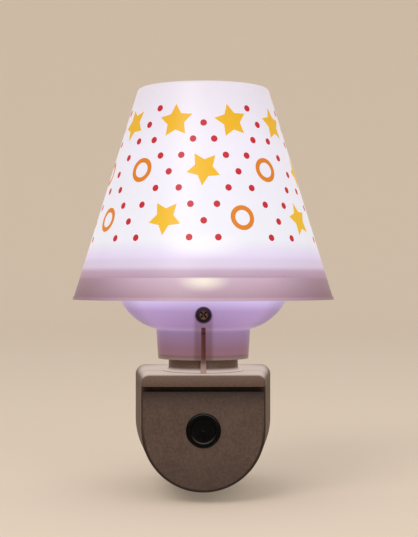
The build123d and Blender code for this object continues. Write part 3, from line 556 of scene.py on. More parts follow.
@dataclass(frozen=True)
class LitShade(Finish):
    """Translucent white polypropylene, satin outside, lit from within and printed in three inks.

    It glows nearly white above the bowl's collar. The collar behind it dims a band, and the skirt below
    gets only stray light, warmest at the front. Heights count from the rim.
    """

    axis_y: float
    rim_height: float
    rim_radius: float
    slope: float
    body: tuple[Stop, ...]
    skirt_side_shade: str
    glow: tuple[Stop, ...]
    seat: float
    seat_blend: float = 0.5
    leak_tone: str = "#ddd5bf"
    leak_drop: float = 1.0
    leak_reach: Place = (10.0, 14.0, 4.2)
    source_tone: str = "#cfd1d0"
    source_rise: float = 17.34
    source_reach: Place = (17.0, 20.0, 5.5)
    side_start: float = 0.38
    side_light: float = 0.42
    cloud_size: float = 14.0
    cloud_range: Span = (0.96, 1.04)
    satin_size: float = 0.9
    satin_share: float = 0.12
    gate_edge: Span = (2.4, 2.9)
    relief_depth: float = 0.12
    relief_strength: float = 0.6
    gloss_range: Span = (0.36, 0.48)
    ior: float = 1.49
    yellow_ink: str = "#ffc81a"
    orange_ink: str = "#ee8a14"
    red_ink: str = "#d41c2c"
    stars: PrintLayer = PrintLayer(columns=9, row_pitch=15.5, first=25.69, rows=3, seed=5.0)
    dots: PrintLayer = PrintLayer(columns=26, row_pitch=5.2, first=19.54, rows=9, seed=8.0)
    star_chance: float = 0.6
    star_reach: float = 5.6
    star_waist: float = 0.52
    ring_reach: float = 3.9
    ring_width: float = 1.5
    dot_reach: float = 1.05
    dot_clearance: float = 7.4

    def cell(self, add: Adder, turn: Feed, rise: Feed, layer: PrintLayer) -> Cell:
        """Find the cell of a print layer that a point lies in.

        Args:
            add: Adds a node.
            turn: Angle round the head axis, in radians from the front.
            rise: Height above the rim, in metres.
            layer: The layer's rows and columns.

        Returns:
            The point's place in its cell, the cell's number and its middle.
        """
        pitch, first = layer.row_pitch * MM, layer.first * MM
        column_turn = FULL_TURN / layer.columns
        climb = add("MULTIPLY_ADD", rise, 1 / pitch, -first / pitch)
        row = add("ROUND", climb)
        # Every second row is shifted by half a column
        shift = add("MULTIPLY_ADD", add("FLOORED_MODULO", row, 2.0), 0.5, -0.5)
        steps = add("MULTIPLY_ADD", turn, 1 / column_turn, shift)
        column = add("ROUND", steps)
        # The shade narrows upwards, so a cell is as wide as its own height allows
        radius = add("MULTIPLY_ADD", rise, -self.slope, self.rim_radius)
        width = add("MULTIPLY", radius, column_turn)
        across = add("MULTIPLY", add("SUBTRACT", steps, column), width)
        up = add("MULTIPLY", add("SUBTRACT", climb, row), pitch)
        # Columns are counted round the shade, so that the cell behind the lamp has one number
        number = add("FLOORED_MODULO", column, float(layer.columns))
        key = add("CombineXYZ", number, row, layer.seed)
        # Only the layer's own rows are printed
        printed = add("COMPARE", row, (layer.rows - 1) / 2, layer.rows / 2)
        middle_turn = add("MULTIPLY", add("SUBTRACT", column, shift), column_turn)
        middle_rise = add("MULTIPLY_ADD", row, pitch, first)
        return Cell(across, up, key, printed, middle_turn, middle_rise)

    def star(self, add: Adder, place: Cell, reach: Feed) -> Node:
        """Draw a five-pointed star in a cell, by folding it to half a point.

        Args:
            add: Adds a node.
            place: The cell.
            reach: Distance of the point from the cell's middle.

        Returns:
            Node whose first output is 1 inside the star.
        """
        tenth = math.pi / 5
        tip = self.star_reach * MM
        notch_x = tip * self.star_waist * math.cos(tenth)
        notch_y = tip * self.star_waist * math.sin(tenth)
        lean = add("TexWhiteNoise", place.key, noise_dimensions="3D")
        bearing = add("ARCTAN2", place.across, place.up)
        fold = add("PINGPONG", add("ADD", bearing, lean), tenth)
        along = add("MULTIPLY_ADD", add("COSINE", fold), reach, -tip)
        aside = add("MULTIPLY", add("SINE", fold), reach)
        # The side of a point runs from its tip to the notch; a point of the star lies on its inner side
        outward = add("MULTIPLY_ADD", aside, tip - notch_x, add("MULTIPLY", along, notch_y))
        return add("LESS_THAN", outward, 0.0)

    def inks(self, add: Adder, turn: Feed, rise: Feed) -> Node:
        """Make the colour that the print lets through.

        Args:
            add: Adds a node.
            turn: Angle round the head axis, in radians from the front.
            rise: Height above the rim, in metres.

        Returns:
            Node whose first output is white where nothing is printed and an ink's colour elsewhere.
        """
        large = self.cell(add, turn, rise, self.stars)
        reach = distance_in_plane(add, large.across, large.up)
        chance = add("TexWhiteNoise", large.key, noise_dimensions="3D")
        takes_ring = add("GREATER_THAN", chance, self.star_chance)
        star = self.star(add, large, reach)
        half_width = self.ring_width / 2 * MM
        off_ring = add("ABSOLUTE", add("SUBTRACT", reach, self.ring_reach * MM - half_width))
        on_ring = add("MULTIPLY", add("LESS_THAN", off_ring, half_width), takes_ring)
        on_star = add("MULTIPLY", star, add("SUBTRACT", 1.0, takes_ring))

        small = self.cell(add, turn, rise, self.dots)
        off_dot = distance_in_plane(add, small.across, small.up)
        dot = add("LESS_THAN", off_dot, self.dot_reach * MM)
        # A dot is left out whole where its middle comes too near a star or ring
        around = self.cell(add, small.middle_turn, small.middle_rise, self.stars)
        room = distance_in_plane(add, around.across, around.up)
        clear = add("GREATER_THAN", room, self.dot_clearance * MM)
        clear_dot = add("MULTIPLY", dot, clear)

        ink = colour(WHITE)
        for shape, place, tone in (
            (on_star, large, self.yellow_ink),
            (on_ring, large, self.orange_ink),
            (clear_dot, small, self.red_ink),
        ):
            printed = add("MULTIPLY", shape, place.printed)
            ink = add("MixRGB", printed, ink, colour(tone))
        return ink

    def wire(self, add: Adder) -> Feeds:
        """Make the shade's nodes.

        Args:
            add: Adds a node.

        Returns:
            The shader's inputs.
        """
        position = add("TexCoord").outputs["Object"]
        local = add("Mapping", position, (0.0, -self.axis_y, -self.rim_height))
        x, y, rise = add("SeparateXYZ", local).outputs
        turn = add("ARCTAN2", x, add("MULTIPLY", y, -1.0))
        ink = self.inks(add, turn, rise)
        glow = colour_along(add, rise, self.glow)
        # Light that leaks past the seat makes a warm patch on the front of the skirt
        seat = self.seat * MM
        below_seat = add("MapRange", rise, seat - self.seat_blend * MM, seat, 1.0, 0.0)
        leak_centre = (0.0, -self.rim_radius, seat - self.leak_drop * MM)
        leak = soft_spot(add, local, leak_centre, self.leak_reach)
        patch = add("MULTIPLY", leak, below_seat)
        patched = add("MixRGB", patch, glow, colour(self.leak_tone))
        # The light source itself shows faintly above the collar
        source_centre = (0.0, -self.rim_radius, self.source_rise * MM)
        source = soft_spot(add, local, source_centre, self.source_reach)
        spotted = add("MixRGB", source, patched, colour(self.source_tone))
        # Less stray light reaches the sides of the skirt, and the wall is not quite even
        aside = add("ABSOLUTE", add("SINE", turn))
        side = add("MapRange", aside, self.side_start, **SMOOTH)
        skirt_side = add("MULTIPLY", side, below_seat)
        dimming = add("MapRange", skirt_side, 0.0, 1.0, 1.0, self.side_light)
        cloud = add("TexNoise", position, Scale=1 / (self.cloud_size * MM), Detail=2.0)
        thin = add("MapRange", cloud, 0.0, 1.0, *self.cloud_range)
        evenness = add("MULTIPLY", thin, dimming)
        uneven = add("MixRGB", 1.0, spotted, evenness, blend_type="MULTIPLY")
        lit = add("MixRGB", 1.0, uneven, ink, blend_type="MULTIPLY")
        # The shade's own colour is painted darker below the seat, and darker still at the skirt's sides:
        # painted shade
        plain = colour_along(add, rise, self.body)
        stray = add("MixRGB", skirt_side, plain, colour(self.skirt_side_shade))
        body = add("MixRGB", 1.0, stray, ink, blend_type="MULTIPLY")
        # The injection gate leaves a shallow round mark on the axis, seen in the middle of the top
        gate_start, gate_end = self.gate_edge
        gate = add("MapRange", distance_in_plane(add, x, y), gate_start * MM, gate_end * MM)
        satin = add("TexNoise", position, Scale=1 / (self.satin_size * MM), Detail=2.0)
        height = add("MULTIPLY_ADD", satin, self.satin_share, gate)
        relief = add("Bump", self.relief_strength, self.relief_depth * MM, Height=height)
        gloss = add("MapRange", satin, 0.0, 1.0, *self.gloss_range)
        feeds = {"Base Color": body, "Roughness": gloss, "IOR": self.ior, "Normal": relief}
        return feeds | {"Emission Color": lit, "Emission Strength": 1.0}


@dataclass(frozen=True)
class LitBowl(Finish):
    """Translucent polypropylene bowl, lit from within: lavender near the light and mauve down the neck.

    The screw boss and the guide walls behind the front of the neck show as darker shapes. Heights count
    from the foot of the neck.
    """

    axis_y: float
    foot: float
    body: tuple[Stop, ...]
    glow: tuple[Stop, ...]
    boss_height: float
    boss_radius: float = 4.2
    boss_blend: Span = (-0.8, 0.5)
    boss_share: float = 0.1
    bore_radius: float = 2.35
    bore_blend: float = 0.6
    bore_drop: float = 0.1
    bore_light: float = 0.03
    slot_half_width: float = 0.69
    slot_top: float = 10.74
    guide_reach: float = 2.9
    guide_blend: float = 0.6
    boss_guide_shadow_tint: str = "#dad0c8"
    slot_shade_tint: str = "#8a5c4a"
    neck_side_light: float = 0.92
    bowl_side_light: float = 0.6
    side_blend: float = 1.0
    side_range: Span = (0.7, 1.0)
    middle_light: float = 0.92
    middle_range: Span = (0.1, 0.6)
    satin_size: float = 0.9
    satin_depth: float = 0.012
    edge_round: float = 0.3
    gloss_range: Span = (0.26, 0.4)
    ior: float = 1.49
    specular: float = 0.2

    def dimming(self, add: Adder, local: Feed) -> Node:
        """Make the tint of what lies behind or in the wall and keeps light from it.

        Args:
            add: Adds a node.
            local: Place on the surface, in metres from the middle of the neck's foot.

        Returns:
            Node with the tint, white where the wall is free.
        """
        x, y, z = add("SeparateXYZ", local).outputs
        in_front = add("LESS_THAN", y, 0.0)
        aside = add("ABSOLUTE", x)
        from_boss = add("SUBTRACT", z, self.boss_height - self.bore_drop * MM)
        boss_distance = distance_in_plane(add, x, from_boss)
        boss_start, boss_end = [(self.boss_radius + blend) * MM for blend in self.boss_blend]
        boss = add("MapRange", boss_distance, boss_start, boss_end, 1.0, 0.0)
        guide_start, guide_end = [(self.guide_reach + side * self.guide_blend) * MM for side in (-1, 1)]
        guide = add("MapRange", aside, guide_start, guide_end, 1.0, 0.0)
        guide_below = add("MULTIPLY", guide, add("LESS_THAN", z, self.boss_height))
        hidden = add("MAXIMUM", add("MULTIPLY", boss, self.boss_share), guide_below)
        # The slot's walls and the end where it runs out are thick; they are painted dark as painted shade
        in_slot = add("LESS_THAN", aside, self.slot_half_width * MM)
        under_end = add("LESS_THAN", z, self.slot_top * MM)
        slot = add("MULTIPLY", in_slot, under_end)
        # Little light comes through the double wall round the screw's hole
        bore_start, bore_end = self.bore_radius * MM, (self.bore_radius + self.bore_blend) * MM
        hole = add("MapRange", boss_distance, bore_start, bore_end, 1.0, 0.0)
        # All three are at the front only
        hidden_front, slot_front, hole_front = [
            add("MULTIPLY", shape, in_front) for shape in (hidden, slot, hole)
        ]
        boss_guide_shadow = add("MixRGB", hidden_front, colour(WHITE), colour(self.boss_guide_shadow_tint))
        slot_shaded = add("MixRGB", slot_front, boss_guide_shadow, colour(self.slot_shade_tint))
        in_hole = add("MapRange", hole_front, 0.0, 1.0, 1.0, self.bore_light)
        # The boss and guides hide some light at the front; the wall is painted darker at the sides as
        # painted shade, where it is seen edge on, and a little darker in the middle
        sideways = add("DIVIDE", aside, distance_in_plane(add, x, y))
        neck_end, bowl_start = [(self.slot_top + side * self.side_blend) * MM for side in (-1, 1)]
        side_light = add("MapRange", z, neck_end, bowl_start, self.neck_side_light, self.bowl_side_light)
        side_dimming = add("MapRange", sideways, *self.side_range, 1.0, side_light, **SMOOTH)
        middle_dimming = add("MapRange", sideways, *self.middle_range, self.middle_light, **SMOOTH)
        evenness = add("MULTIPLY", in_hole, add("MULTIPLY", side_dimming, middle_dimming))
        return add("MixRGB", 1.0, slot_shaded, evenness, blend_type="MULTIPLY")

    def wire(self, add: Adder) -> Feeds:
        """Make the bowl's nodes.

        Args:
            add: Adds a node.

        Returns:
            The shader's inputs.
        """
        position = add("TexCoord").outputs["Object"]
        local = add("Mapping", position, (0.0, -self.axis_y, -self.foot))
        height = add("SeparateXYZ", local).outputs["Z"]
        dimming = self.dimming(add, local)
        # Glow and own colour both take the dimming, so its tints are painted shade in the own colour too;
        # the own colour is painted darker down the neck
        lit, body = [
            add("MixRGB", 1.0, colour_along(add, height, stops), dimming, blend_type="MULTIPLY")
            for stops in (self.glow, self.body)
        ]
        satin = add("TexNoise", position, Scale=1 / (self.satin_size * MM), Detail=2.0)
        gloss = add("MapRange", satin, 0.0, 1.0, *self.gloss_range)
        soft = add("Bevel", self.edge_round * MM, samples=4)
        relief = add("Bump", Distance=self.satin_depth * MM, Height=satin, Normal=soft)
        feeds = {"Base Color": body, "Roughness": gloss, "IOR": self.ior, "Normal": relief}
        feeds["Specular IOR Level"] = self.specular
        return feeds | {"Emission Color": lit, "Emission Strength": 1.0}


def deselect_all() -> None:
    """Leave nothing selected, so that an operator acts on the new piece alone."""
    bpy.ops.object.select_all(action="DESELECT")


def join_as(name: str, copies: list[Object]) -> Object:
    """Join modelled copies into one piece at the origin.

    Args:
        name: Name of the finished piece.
        copies: Objects to join.

    Returns:
        The finished piece.
    """
    deselect_all()
    for copy in copies:
        copy.select_set(True)
    bpy.context.view_layer.objects.active = copies[0]
    bpy.ops.object.join()
    piece = bpy.context.object
    piece.name = name
    bpy.ops.object.transform_apply(location=True, rotation=True, scale=True)
    return piece


def copy_turned(piece: Object, turn: float, middle: Place) -> Object:
    """Copy a piece, with its own mesh, and turn the copy about an upright line.

    Args:
        piece: The piece to copy.
        turn: Angle in radians.
        middle: A place on the line.

    Returns:
        The copy.
    """
    deselect_all()
    piece.select_set(True)
    bpy.context.view_layer.objects.active = piece
    bpy.ops.object.duplicate(linked=False)
    bpy.ops.transform.rotate(value=turn, orient_axis="Z", center_override=middle)
    return bpy.context.object


@dataclass
class LedLamp:
    """LED board on the post: four packages with phosphor lenses and solder at their ends."""

    axis_y: float
    circle: float = 4.2 * MM
    package: float = 3.0 * MM
    lens_radius: float = 1.15 * MM
    lens_rise: float = 0.28 * MM
    lens_sides: int = 20
    lens_steps: Span = (0.3, 0.2)
    facing_up: float = 0.9
    solder_width: float = 1.9 * MM
    solder_reach: float = 0.55 * MM
    solder_rise: float = 0.5 * MM
    solder_drop: float = 0.75
    solder_round: float = 0.12
    smooth_angle: float = math.radians(40)
    count: int = 4

    def first_turn(self) -> float:
        """Give the angle of the first LED round the head axis."""
        return FULL_TURN / self.count / 2

    def place(self, height: float, aside: float = 0.0) -> Place:
        """Give a place on the first LED or beside it.

        Args:
            height: Height above the origin.
            aside: Distance from the LED's middle, along the circle.

        Returns:
            The place in the shared frame.
        """
        turn = self.first_turn()
        x = self.circle * math.cos(turn) - aside * math.sin(turn)
        y = self.circle * math.sin(turn) + aside * math.cos(turn)
        return x, self.axis_y + y, height

    def lens(self, seat: float) -> Object:
        """Model the first LED's domed lens: a disc whose top is drawn in and raised twice.

        Args:
            seat: Height of the package's top.

        Returns:
            The lens.
        """
        deselect_all()
        bpy.ops.mesh.primitive_cylinder_add(
            vertices=self.lens_sides, radius=self.lens_radius, depth=self.lens_rise / 2,
            end_fill_type="NGON", location=self.place(seat + self.lens_rise / 4),
        )
        lens = bpy.context.object
        for face in lens.data.polygons:
            face.select = face.normal.z > self.facing_up
        bpy.ops.object.mode_set(mode="EDIT")
        bpy.ops.mesh.select_mode(type="FACE")
        for share in self.lens_steps:
            bpy.ops.mesh.inset(thickness=self.lens_radius * share)
            bpy.ops.transform.translate(value=(0.0, 0.0, self.lens_rise * share))
        bpy.ops.object.mode_set(mode="OBJECT")
        bpy.ops.object.shade_smooth()
        return lens

    def fillet(self, seat: float) -> Object:
        """Model one solder fillet of the first LED: a round-edged block drawn down on its outer side.

        Args:
            seat: Height of the board's top.

        Returns:
            The fillet.
        """
        deselect_all()
        bpy.ops.mesh.primitive_cube_add(size=1.0)
        fillet = bpy.context.object
        for vertex in fillet.data.vertices:
            vertex.select = vertex.co.z > 0 and vertex.co.y > 0
        bpy.ops.object.mode_set(mode="EDIT")
        bpy.ops.mesh.select_mode(type="VERT")
        bpy.ops.transform.translate(value=(0.0, 0.0, -self.solder_drop))
        bpy.ops.mesh.select_all(action="SELECT")
        bpy.ops.mesh.bevel(offset=self.solder_round, segments=2, affect="EDGES")
        bpy.ops.object.mode_set(mode="OBJECT")
        fillet.scale = (self.solder_width, self.solder_reach, self.solder_rise)
        fillet.rotation_euler = (0.0, 0.0, self.first_turn())
        fillet.location = self.place(seat + self.solder_rise / 2, (self.package + self.solder_reach) / 2)
        bpy.ops.object.transform_apply(location=True, rotation=True, scale=True)
        bpy.ops.object.shade_smooth_by_angle(angle=self.smooth_angle)
        return fillet

    def on_every_led(self, name: str, details: list[Object]) -> Object:
        """Copy the first LED's details to the other LEDs and join them all.

        Args:
            name: Name of the finished piece.
            details: What was modelled on the first LED.

        Returns:
            The finished piece.
        """
        turns = [FULL_TURN * number / self.count for number in range(1, self.count)]
        axis = (0.0, self.axis_y, 0.0)
        copies = [copy_turned(detail, turn, axis) for detail in details for turn in turns]
        return join_as(name, details + copies)

    def build(self) -> None:
        """Model the lenses and the solder and fix them to the lamp."""
        lenses = self.on_every_led("led_lenses", [self.lens(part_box("leds")[1].z)])
        board_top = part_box("led_board")[1].z
        fillet = self.fillet(board_top)
        opposite = copy_turned(fillet, math.pi, self.place(board_top))
        solder = self.on_every_led("led_solder", [fillet, opposite])
        for piece in (lenses, solder):
            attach(piece, "lamp")
            LOG.info("%s has %d faces", piece.name, len(piece.data.polygons))
        # Silicone with phosphor powder, cast: pale yellow, with a glow of its own
        lenses.data.materials.append(Phosphor("silicone_phosphor", "#ffe39a", "#fff4cf").material())
        # Tin solder, cooled from a melt: bright and smooth, with a soft shine
        solder.data.materials.append(PlatedMetal("tin_solder", "#c9ccd0", 0.35).material())

    def dress(self) -> None:
        """Give the LED board and what is on it their finishes."""
        # White solder mask throws stray light back up
        BoardLaminate("white_mask_laminate", "#e9e7e1", "#f4efe2").dress("led_board")
        # White filled nylon from a polished mould: bright and slightly glossy
        MouldedPlastic("white_led_package", "#efede6", "#fbf9f2", Grain.POLISHED, 0.4).dress("leds")
        # Zinc plate on rolled screws: pale grey with a broad, soft shine
        PlatedMetal("zinc_plated_steel", "#b9bcc0", 0.35).dress(
            "led_board_screws", "board_screws", "housing_screws"
        )
        # Soft PVC, extruded: even colour with a low gloss
        WireCover("red_pvc", "#b0222b").dress("led_lead_positive")
        WireCover("black_pvc", "#1d1c1e").dress("led_lead_negative")


@dataclass
class Head:
    """Shade and bowl, the two translucent mouldings that the LED board lights."""

    axis_y: float
    top_radius: float = 21.65
    seat: float = 7.34

    def dress_shade(self) -> None:
        """Give the shade its finish."""
        low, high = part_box("shade")
        rim_radius = (high.x - low.x) / 2
        # Polypropylene from a satin mould: a soft, nearly white glow that hides the LEDs
        LitShade(
            "lit_polypropylene_shade",
            axis_y=self.axis_y,
            rim_height=low.z,
            rim_radius=rim_radius,
            slope=(rim_radius - self.top_radius * MM) / (high.z - low.z),
            seat=self.seat,
            # Own colour, painted darker below the seat as painted shade
            body=(Stop(self.seat - 0.2, "#847987"), Stop(self.seat + 0.2, "#a29fae")),
            skirt_side_shade="#7a6371",
            glow=(
                # The bead, and the skirt, paler towards the seat
                Stop(0.74, "#947384"), Stop(1.14, "#815c6b"), Stop(self.seat - 0.3, "#a78b9e"),
                # The bowl's collar, pressed against the wall, and its paler upper edge
                Stop(self.seat, "#693154"), Stop(9.14, "#815474"), Stop(10.54, "#a696af"),
                Stop(12.44, "#a89ab2"),
                # The wall over the light
                Stop(13.54, "#b3a6c4"), Stop(18.94, "#c3c6cb"), Stop(47.94, "#c3c2cb"),
                Stop(69.94, "#b7b1b8"),
            ),
        ).dress("shade")

    def dress_bowl(self) -> None:
        """Give the bowl and its screw their finishes."""
        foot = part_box("bowl")[0].z
        screw_low, screw_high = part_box("bowl_screw")
        # The same plastic, thicker: a dimmer lavender glow
        LitBowl(
            "lit_polypropylene_bowl",
            axis_y=self.axis_y,
            foot=foot,
            boss_height=(screw_low.z + screw_high.z) / 2 - foot,
            # Own colour, painted darker down the neck as painted shade
            body=(Stop(8.99, "#6b5a66"), Stop(10.99, "#7d7390"), Stop(33.49, "#8a82a0")),
            glow=(
                # The neck's foot, which takes light thrown back by the base
                Stop(0.39, "#64584a"), Stop(1.09, "#52362f"),
                # The neck
                Stop(1.79, "#704c54"), Stop(3.49, "#6f4a5c"), Stop(8.89, "#7d658c"),
                # The corner between neck and bowl, with a painted highlight
                Stop(9.99, "#957ea2"), Stop(11.09, "#8a6b98"),
                # The bowl, brightest where the shade's skirt begins to cover it
                Stop(15.99, "#9b7eaf"), Stop(19.69, "#c8b9e7"), Stop(25.49, "#bfa9cb"),
                Stop(33.49, "#c4b5d3"),
            ),
        ).dress("bowl")
        # Blackened steel, turned: dull brown-black, with painted shade in the cross
        PlatedMetal("blackened_steel", "#65514a", 0.42, recess_shade_reach=0.7).dress("bowl_screw")


@dataclass
class Base:
    """Clamshell housing with its post, plate, button and the driver inside."""

    axis_y: float

    def dress_housing(self) -> None:
        """Give the shells and the post their finishes."""
        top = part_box("rear_shell")[1].z
        # ABS in a warm stone colour, satin from a fine-blasted mould: broad, soft light and no shine
        LampLitPlastic(
            "stone_abs", "#5b483d", "#655145", Grain.SATIN, 0.42,
            specular=0.02, axis_y=self.axis_y, top=top, spill=0.13, spill_start=-4.6, spill_full=0.0,
        ).dress("front_shell", "rear_shell")
        # The post is the same plastic, drawn a little lighter than the shells as painted light; light
        # thrown back by the base reaches its foot
        LampLitPlastic(
            "stone_abs_post", "#655047", "#705a51", Grain.SATIN, 0.42,
            specular=0.2, crevice_shade_reach=0.4, axis_y=self.axis_y, top=top,
            spill=0.9, spill_start=0.3, spill_full=0.0, corner_reach=0.05,
            # Bright over the base, dark from where the slot begins
            rib_light=(
                Stop(-0.24, "#927c72"), Stop(2.46, "#5d5147"), Stop(2.96, "#382923"),
                Stop(4.96, "#3a1213"), Stop(13.36, "#3a0f14"),
            ),
        ).dress("neck_post")

    def dress_front(self) -> None:
        """Give the plate, the button and its switch their finishes."""
        plate_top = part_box("face_plate")[1]
        # The same ABS, darker, from a spark-eroded mould that scatters light
        BrowShadedPlastic(
            "spark_grained_abs", "#4a3a31", "#5c4a41", Grain.SPARK, 0.6,
            specular=0.25, half_width=plate_top.x, brow_edge=plate_top.z,
            shadow=(
                # The foot of the plate and its open middle
                Stop(-32.7, "#dcdcdc"), Stop(-20.7, WHITE), Stop(-6.4, WHITE),
                # The shadow under the brow
                Stop(-2.9, "#dcdcdc"), Stop(-1.0, "#adadad"), Stop(-0.6, "#999999"), Stop(0.0, "#6a6a6a"),
            ),
        ).dress("face_plate")
        # Black ABS from a polished mould: deep black with a thin line of light on its rim
        LampLitPlastic(
            "gloss_black_abs", "#030303", "#050505", Grain.POLISHED, 0.2,
            specular=0.05, edge_round=0.15, edge_wear_and_highlight=0.02, axis_y=self.axis_y, lit="#4a4843",
        ).dress("power_button")
        # Natural acetal, moulded: waxy white
        plunger = MouldedPlastic("natural_acetal", "#e4e1da", "#efece5", Grain.POLISHED, 0.35)
        plunger.dress("switch_plunger")
        # Glass-filled PBT, moulded: dull dark grey
        MouldedPlastic("grey_pbt", "#3a3c40", "#46484c", Grain.SATIN, 0.45).dress("push_switch")

    def dress_driver(self) -> None:
        """Give the driver board and its components their finishes."""
        # Green solder mask: glossy over the runs, duller over the cloth
        BoardLaminate("green_mask_laminate", "#15502f", "#2a6e44").dress("driver_board")
        # Polyester case, moulded: warm yellow with a soft gloss
        MouldedPlastic("yellow_film_case", "#c9a22e", "#d6b043", Grain.SATIN, 0.4).dress("film_capacitor")
        # PVC sleeve, shrunk on: smooth dark blue
        sleeve = MouldedPlastic("blue_shrink_sleeve", "#1f2c4c", "#27355a", Grain.POLISHED, 0.3)
        sleeve.dress("electrolytic_capacitor")
        # Moulded epoxy: matt black
        MouldedPlastic("black_epoxy", "#151516", "#1e1e20", Grain.SATIN, 0.5).dress("rectifier")
        low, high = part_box("fuse_resistor")
        length = (high.x - low.x) / MM
        coat, brown, gold = "#3f6f78", "#5a3318", "#a8843a"
        marks = ((0.0, coat), (0.25, brown), (0.33, coat), (0.45, gold), (0.53, coat), (1.0, coat))
        bands = tuple(Stop(share * length, tone) for share, tone in marks)
        # Baked enamel, dipped: glossy, with a slight orange peel
        BandedEnamel("banded_enamel", low.x, bands).dress("fuse_resistor")


@dataclass
class Plug:
    """Plug pins and the wires behind them."""

    def dress(self) -> None:
        """Give the pins and wires their finishes."""
        # Nickel plate over turned brass: pale, slightly warm, bright but not a mirror
        PlatedMetal("nickel_plated_brass", "#cfc9bf", 0.24).dress("live_pin", "neutral_pin")
        # Soft PVC, extruded: even colour with a low gloss
        WireCover("brown_pvc", "#5d3a24").dress("live_lead")
        WireCover("blue_pvc", "#2b4f8c").dress("neutral_lead")


@dataclass(frozen=True)
class Paper(Finish):
    """Matt studio paper: pale, even, with a hardly visible tooth."""

    tone: str
    tooth_size: float = 2.0
    tooth_depth: float = 0.02
    roughness: float = 0.9
    lift: float = 0.22

    def wire(self, add: Adder) -> Feeds:
        """Make the paper's nodes.

        Args:
            add: Adds a node.

        Returns:
            The shader's inputs.
        """
        position = add("TexCoord").outputs["Object"]
        tooth = add("TexNoise", position, Scale=1 / (self.tooth_size * MM), Detail=2.0)
        relief = add("Bump", Height=tooth, Distance=self.tooth_depth * MM)
        # A lift that lights nothing else keeps the far paper pale where it is seen
        path = add("LightPath").outputs
        direct = add("MAXIMUM", path["Is Camera Ray"], path["Is Glossy Ray"])
        seen = add("MAXIMUM", direct, path["Is Transmission Ray"])
        lift = add("MULTIPLY", seen, self.lift)
        tone = colour(self.tone)
        feeds = {"Base Color": tone, "Roughness": self.roughness, "Normal": relief}
        return feeds | {"Emission Color": tone, "Emission Strength": lift}


@dataclass(frozen=True)
class SoftLamp:
    """One round soft lamp: its place and the width of its face in metres, and its power in watts."""

    name: str
    place: Place
    size: float
    power: float
    tone: str = WHITE

    def hang(self, aim: Place) -> None:
        """Hang the lamp.

        Args:
            aim: Point that it faces.
        """
        data = bpy.data.lights.new(self.name, "AREA")
        data.shape = "DISK"
        data.size = self.size
        data.energy = self.power
        data.color = colour(self.tone)[:3]
        lamp = bpy.data.objects.new(self.name, data)
        lamp.location = self.place
        lamp.rotation_euler = (Vector(aim) - Vector(self.place)).to_track_quat("-Z", "Y").to_euler()
        lamp.visible_camera = False
        bpy.context.scene.collection.objects.link(lamp)
        LOG.info("%s gives %.3f W", self.name, self.power)


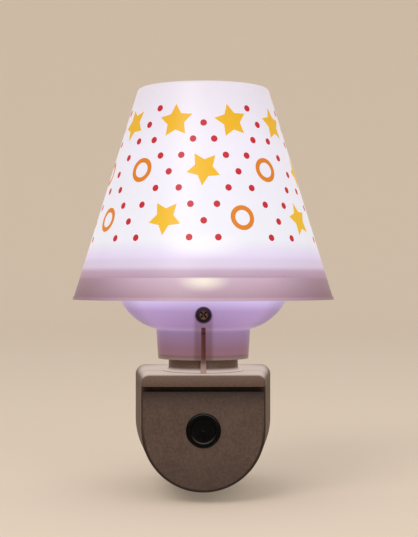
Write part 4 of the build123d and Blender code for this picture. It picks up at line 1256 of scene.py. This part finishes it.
@dataclass
class Studio:
    """Pale sweep, soft lamps and the camera of the photograph."""

    axis_y: float
    paper: str = "#e8d8c4"
    floor_radius: float = 1.3
    floor_sides: int = 96
    sweep_radius: float = 0.9
    sweep_steps: int = 12
    surround_tone: str = "#fffcfa"
    surround_strength: float = 0.5
    lamps: tuple[SoftLamp, ...] = (
        SoftLamp("key_lamp", (-0.4, -1.0, 0.75), 0.6, 5.0, "#fffaf4"),
        SoftLamp("fill_lamp", (0.45, -1.0, 0.3), 0.7, 2.5),
    )
    lamp_aim_height: float = 0.04
    camera_place: Place = (-0.0015, -0.5025, 0.0485)
    aim_x: float = 0.0019
    aim_height: float = 0.0523
    lens: float = 90.5
    sensor: float = 36.0

    def build_sweep(self) -> None:
        """Model the floor as a wide dish: a disc whose edge is drawn out and up in a quarter circle."""
        deselect_all()
        middle = (0.0, 0.0, CAD_BOX[0].z)
        bpy.ops.mesh.primitive_circle_add(
            vertices=self.floor_sides, radius=self.floor_radius, fill_type="NGON", location=middle
        )
        sweep = bpy.context.object
        sweep.name = "sweep"
        bpy.ops.object.mode_set(mode="EDIT")
        bpy.ops.mesh.select_all(action="SELECT")
        bpy.ops.mesh.region_to_loop()
        radius, height = self.floor_radius, 0.0
        for step in range(1, self.sweep_steps + 1):
            turn = math.pi / 2 * step / self.sweep_steps
            next_radius = self.floor_radius + self.sweep_radius * math.sin(turn)
            next_height = self.sweep_radius * (1 - math.cos(turn))
            rise = (0.0, 0.0, next_height - height)
            bpy.ops.mesh.extrude_edges_move(TRANSFORM_OT_translate={"value": rise})
            grow = next_radius / radius
            bpy.ops.transform.resize(value=(grow, grow, 1.0), center_override=middle)
            radius, height = next_radius, next_height
        bpy.ops.mesh.select_all(action="SELECT")
        bpy.ops.mesh.normals_make_consistent(inside=True)
        bpy.ops.object.mode_set(mode="OBJECT")
        bpy.ops.object.transform_apply(location=True)
        bpy.ops.object.shade_smooth()
        sweep.data.materials.append(Paper("matt_paper", self.paper).material())
        LOG.info("sweep has %d faces", len(sweep.data.polygons))

    def build_light(self) -> None:
        """Make the even surround and hang the soft lamps."""
        world = bpy.data.worlds.new("surround")
        world.use_nodes = True
        world.node_tree.nodes.clear()
        add = partial(add_node, world.node_tree)
        add("OutputWorld", add("Background", colour(self.surround_tone), self.surround_strength))
        bpy.context.scene.world = world
        for lamp in self.lamps:
            lamp.hang((0.0, self.axis_y, self.lamp_aim_height))

    def build_camera(self) -> None:
        """Place the camera a little above the level of the shade's rim, as in the photograph."""
        data = bpy.data.cameras.new("camera")
        data.sensor_fit = "VERTICAL"
        data.sensor_height = self.sensor
        data.lens = self.lens
        camera = bpy.data.objects.new("camera", data)
        aim = Vector((self.aim_x, self.axis_y, self.aim_height))
        camera.location = self.camera_place
        camera.rotation_euler = (aim - Vector(self.camera_place)).to_track_quat("-Z", "Y").to_euler()
        bpy.context.scene.collection.objects.link(camera)
        bpy.context.scene.camera = camera
        bpy.context.scene.view_settings.view_transform = "Standard"

    def build(self) -> None:
        """Build the whole studio."""
        self.build_sweep()
        self.build_light()
        self.build_camera()


def main() -> None:
    """Build and dress every sub-assembly in order."""
    logging.basicConfig(level=logging.INFO, format="%(name)s: %(message)s")
    low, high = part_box("shade")
    axis_y = (low.y + high.y) / 2
    Studio(axis_y).build()
    leds = LedLamp(axis_y)
    leds.build()
    leds.dress()
    head = Head(axis_y)
    head.dress_shade()
    head.dress_bowl()
    base = Base(axis_y)
    base.dress_housing()
    base.dress_front()
    base.dress_driver()
    Plug().dress()


if __name__ == "__main__":
    main()
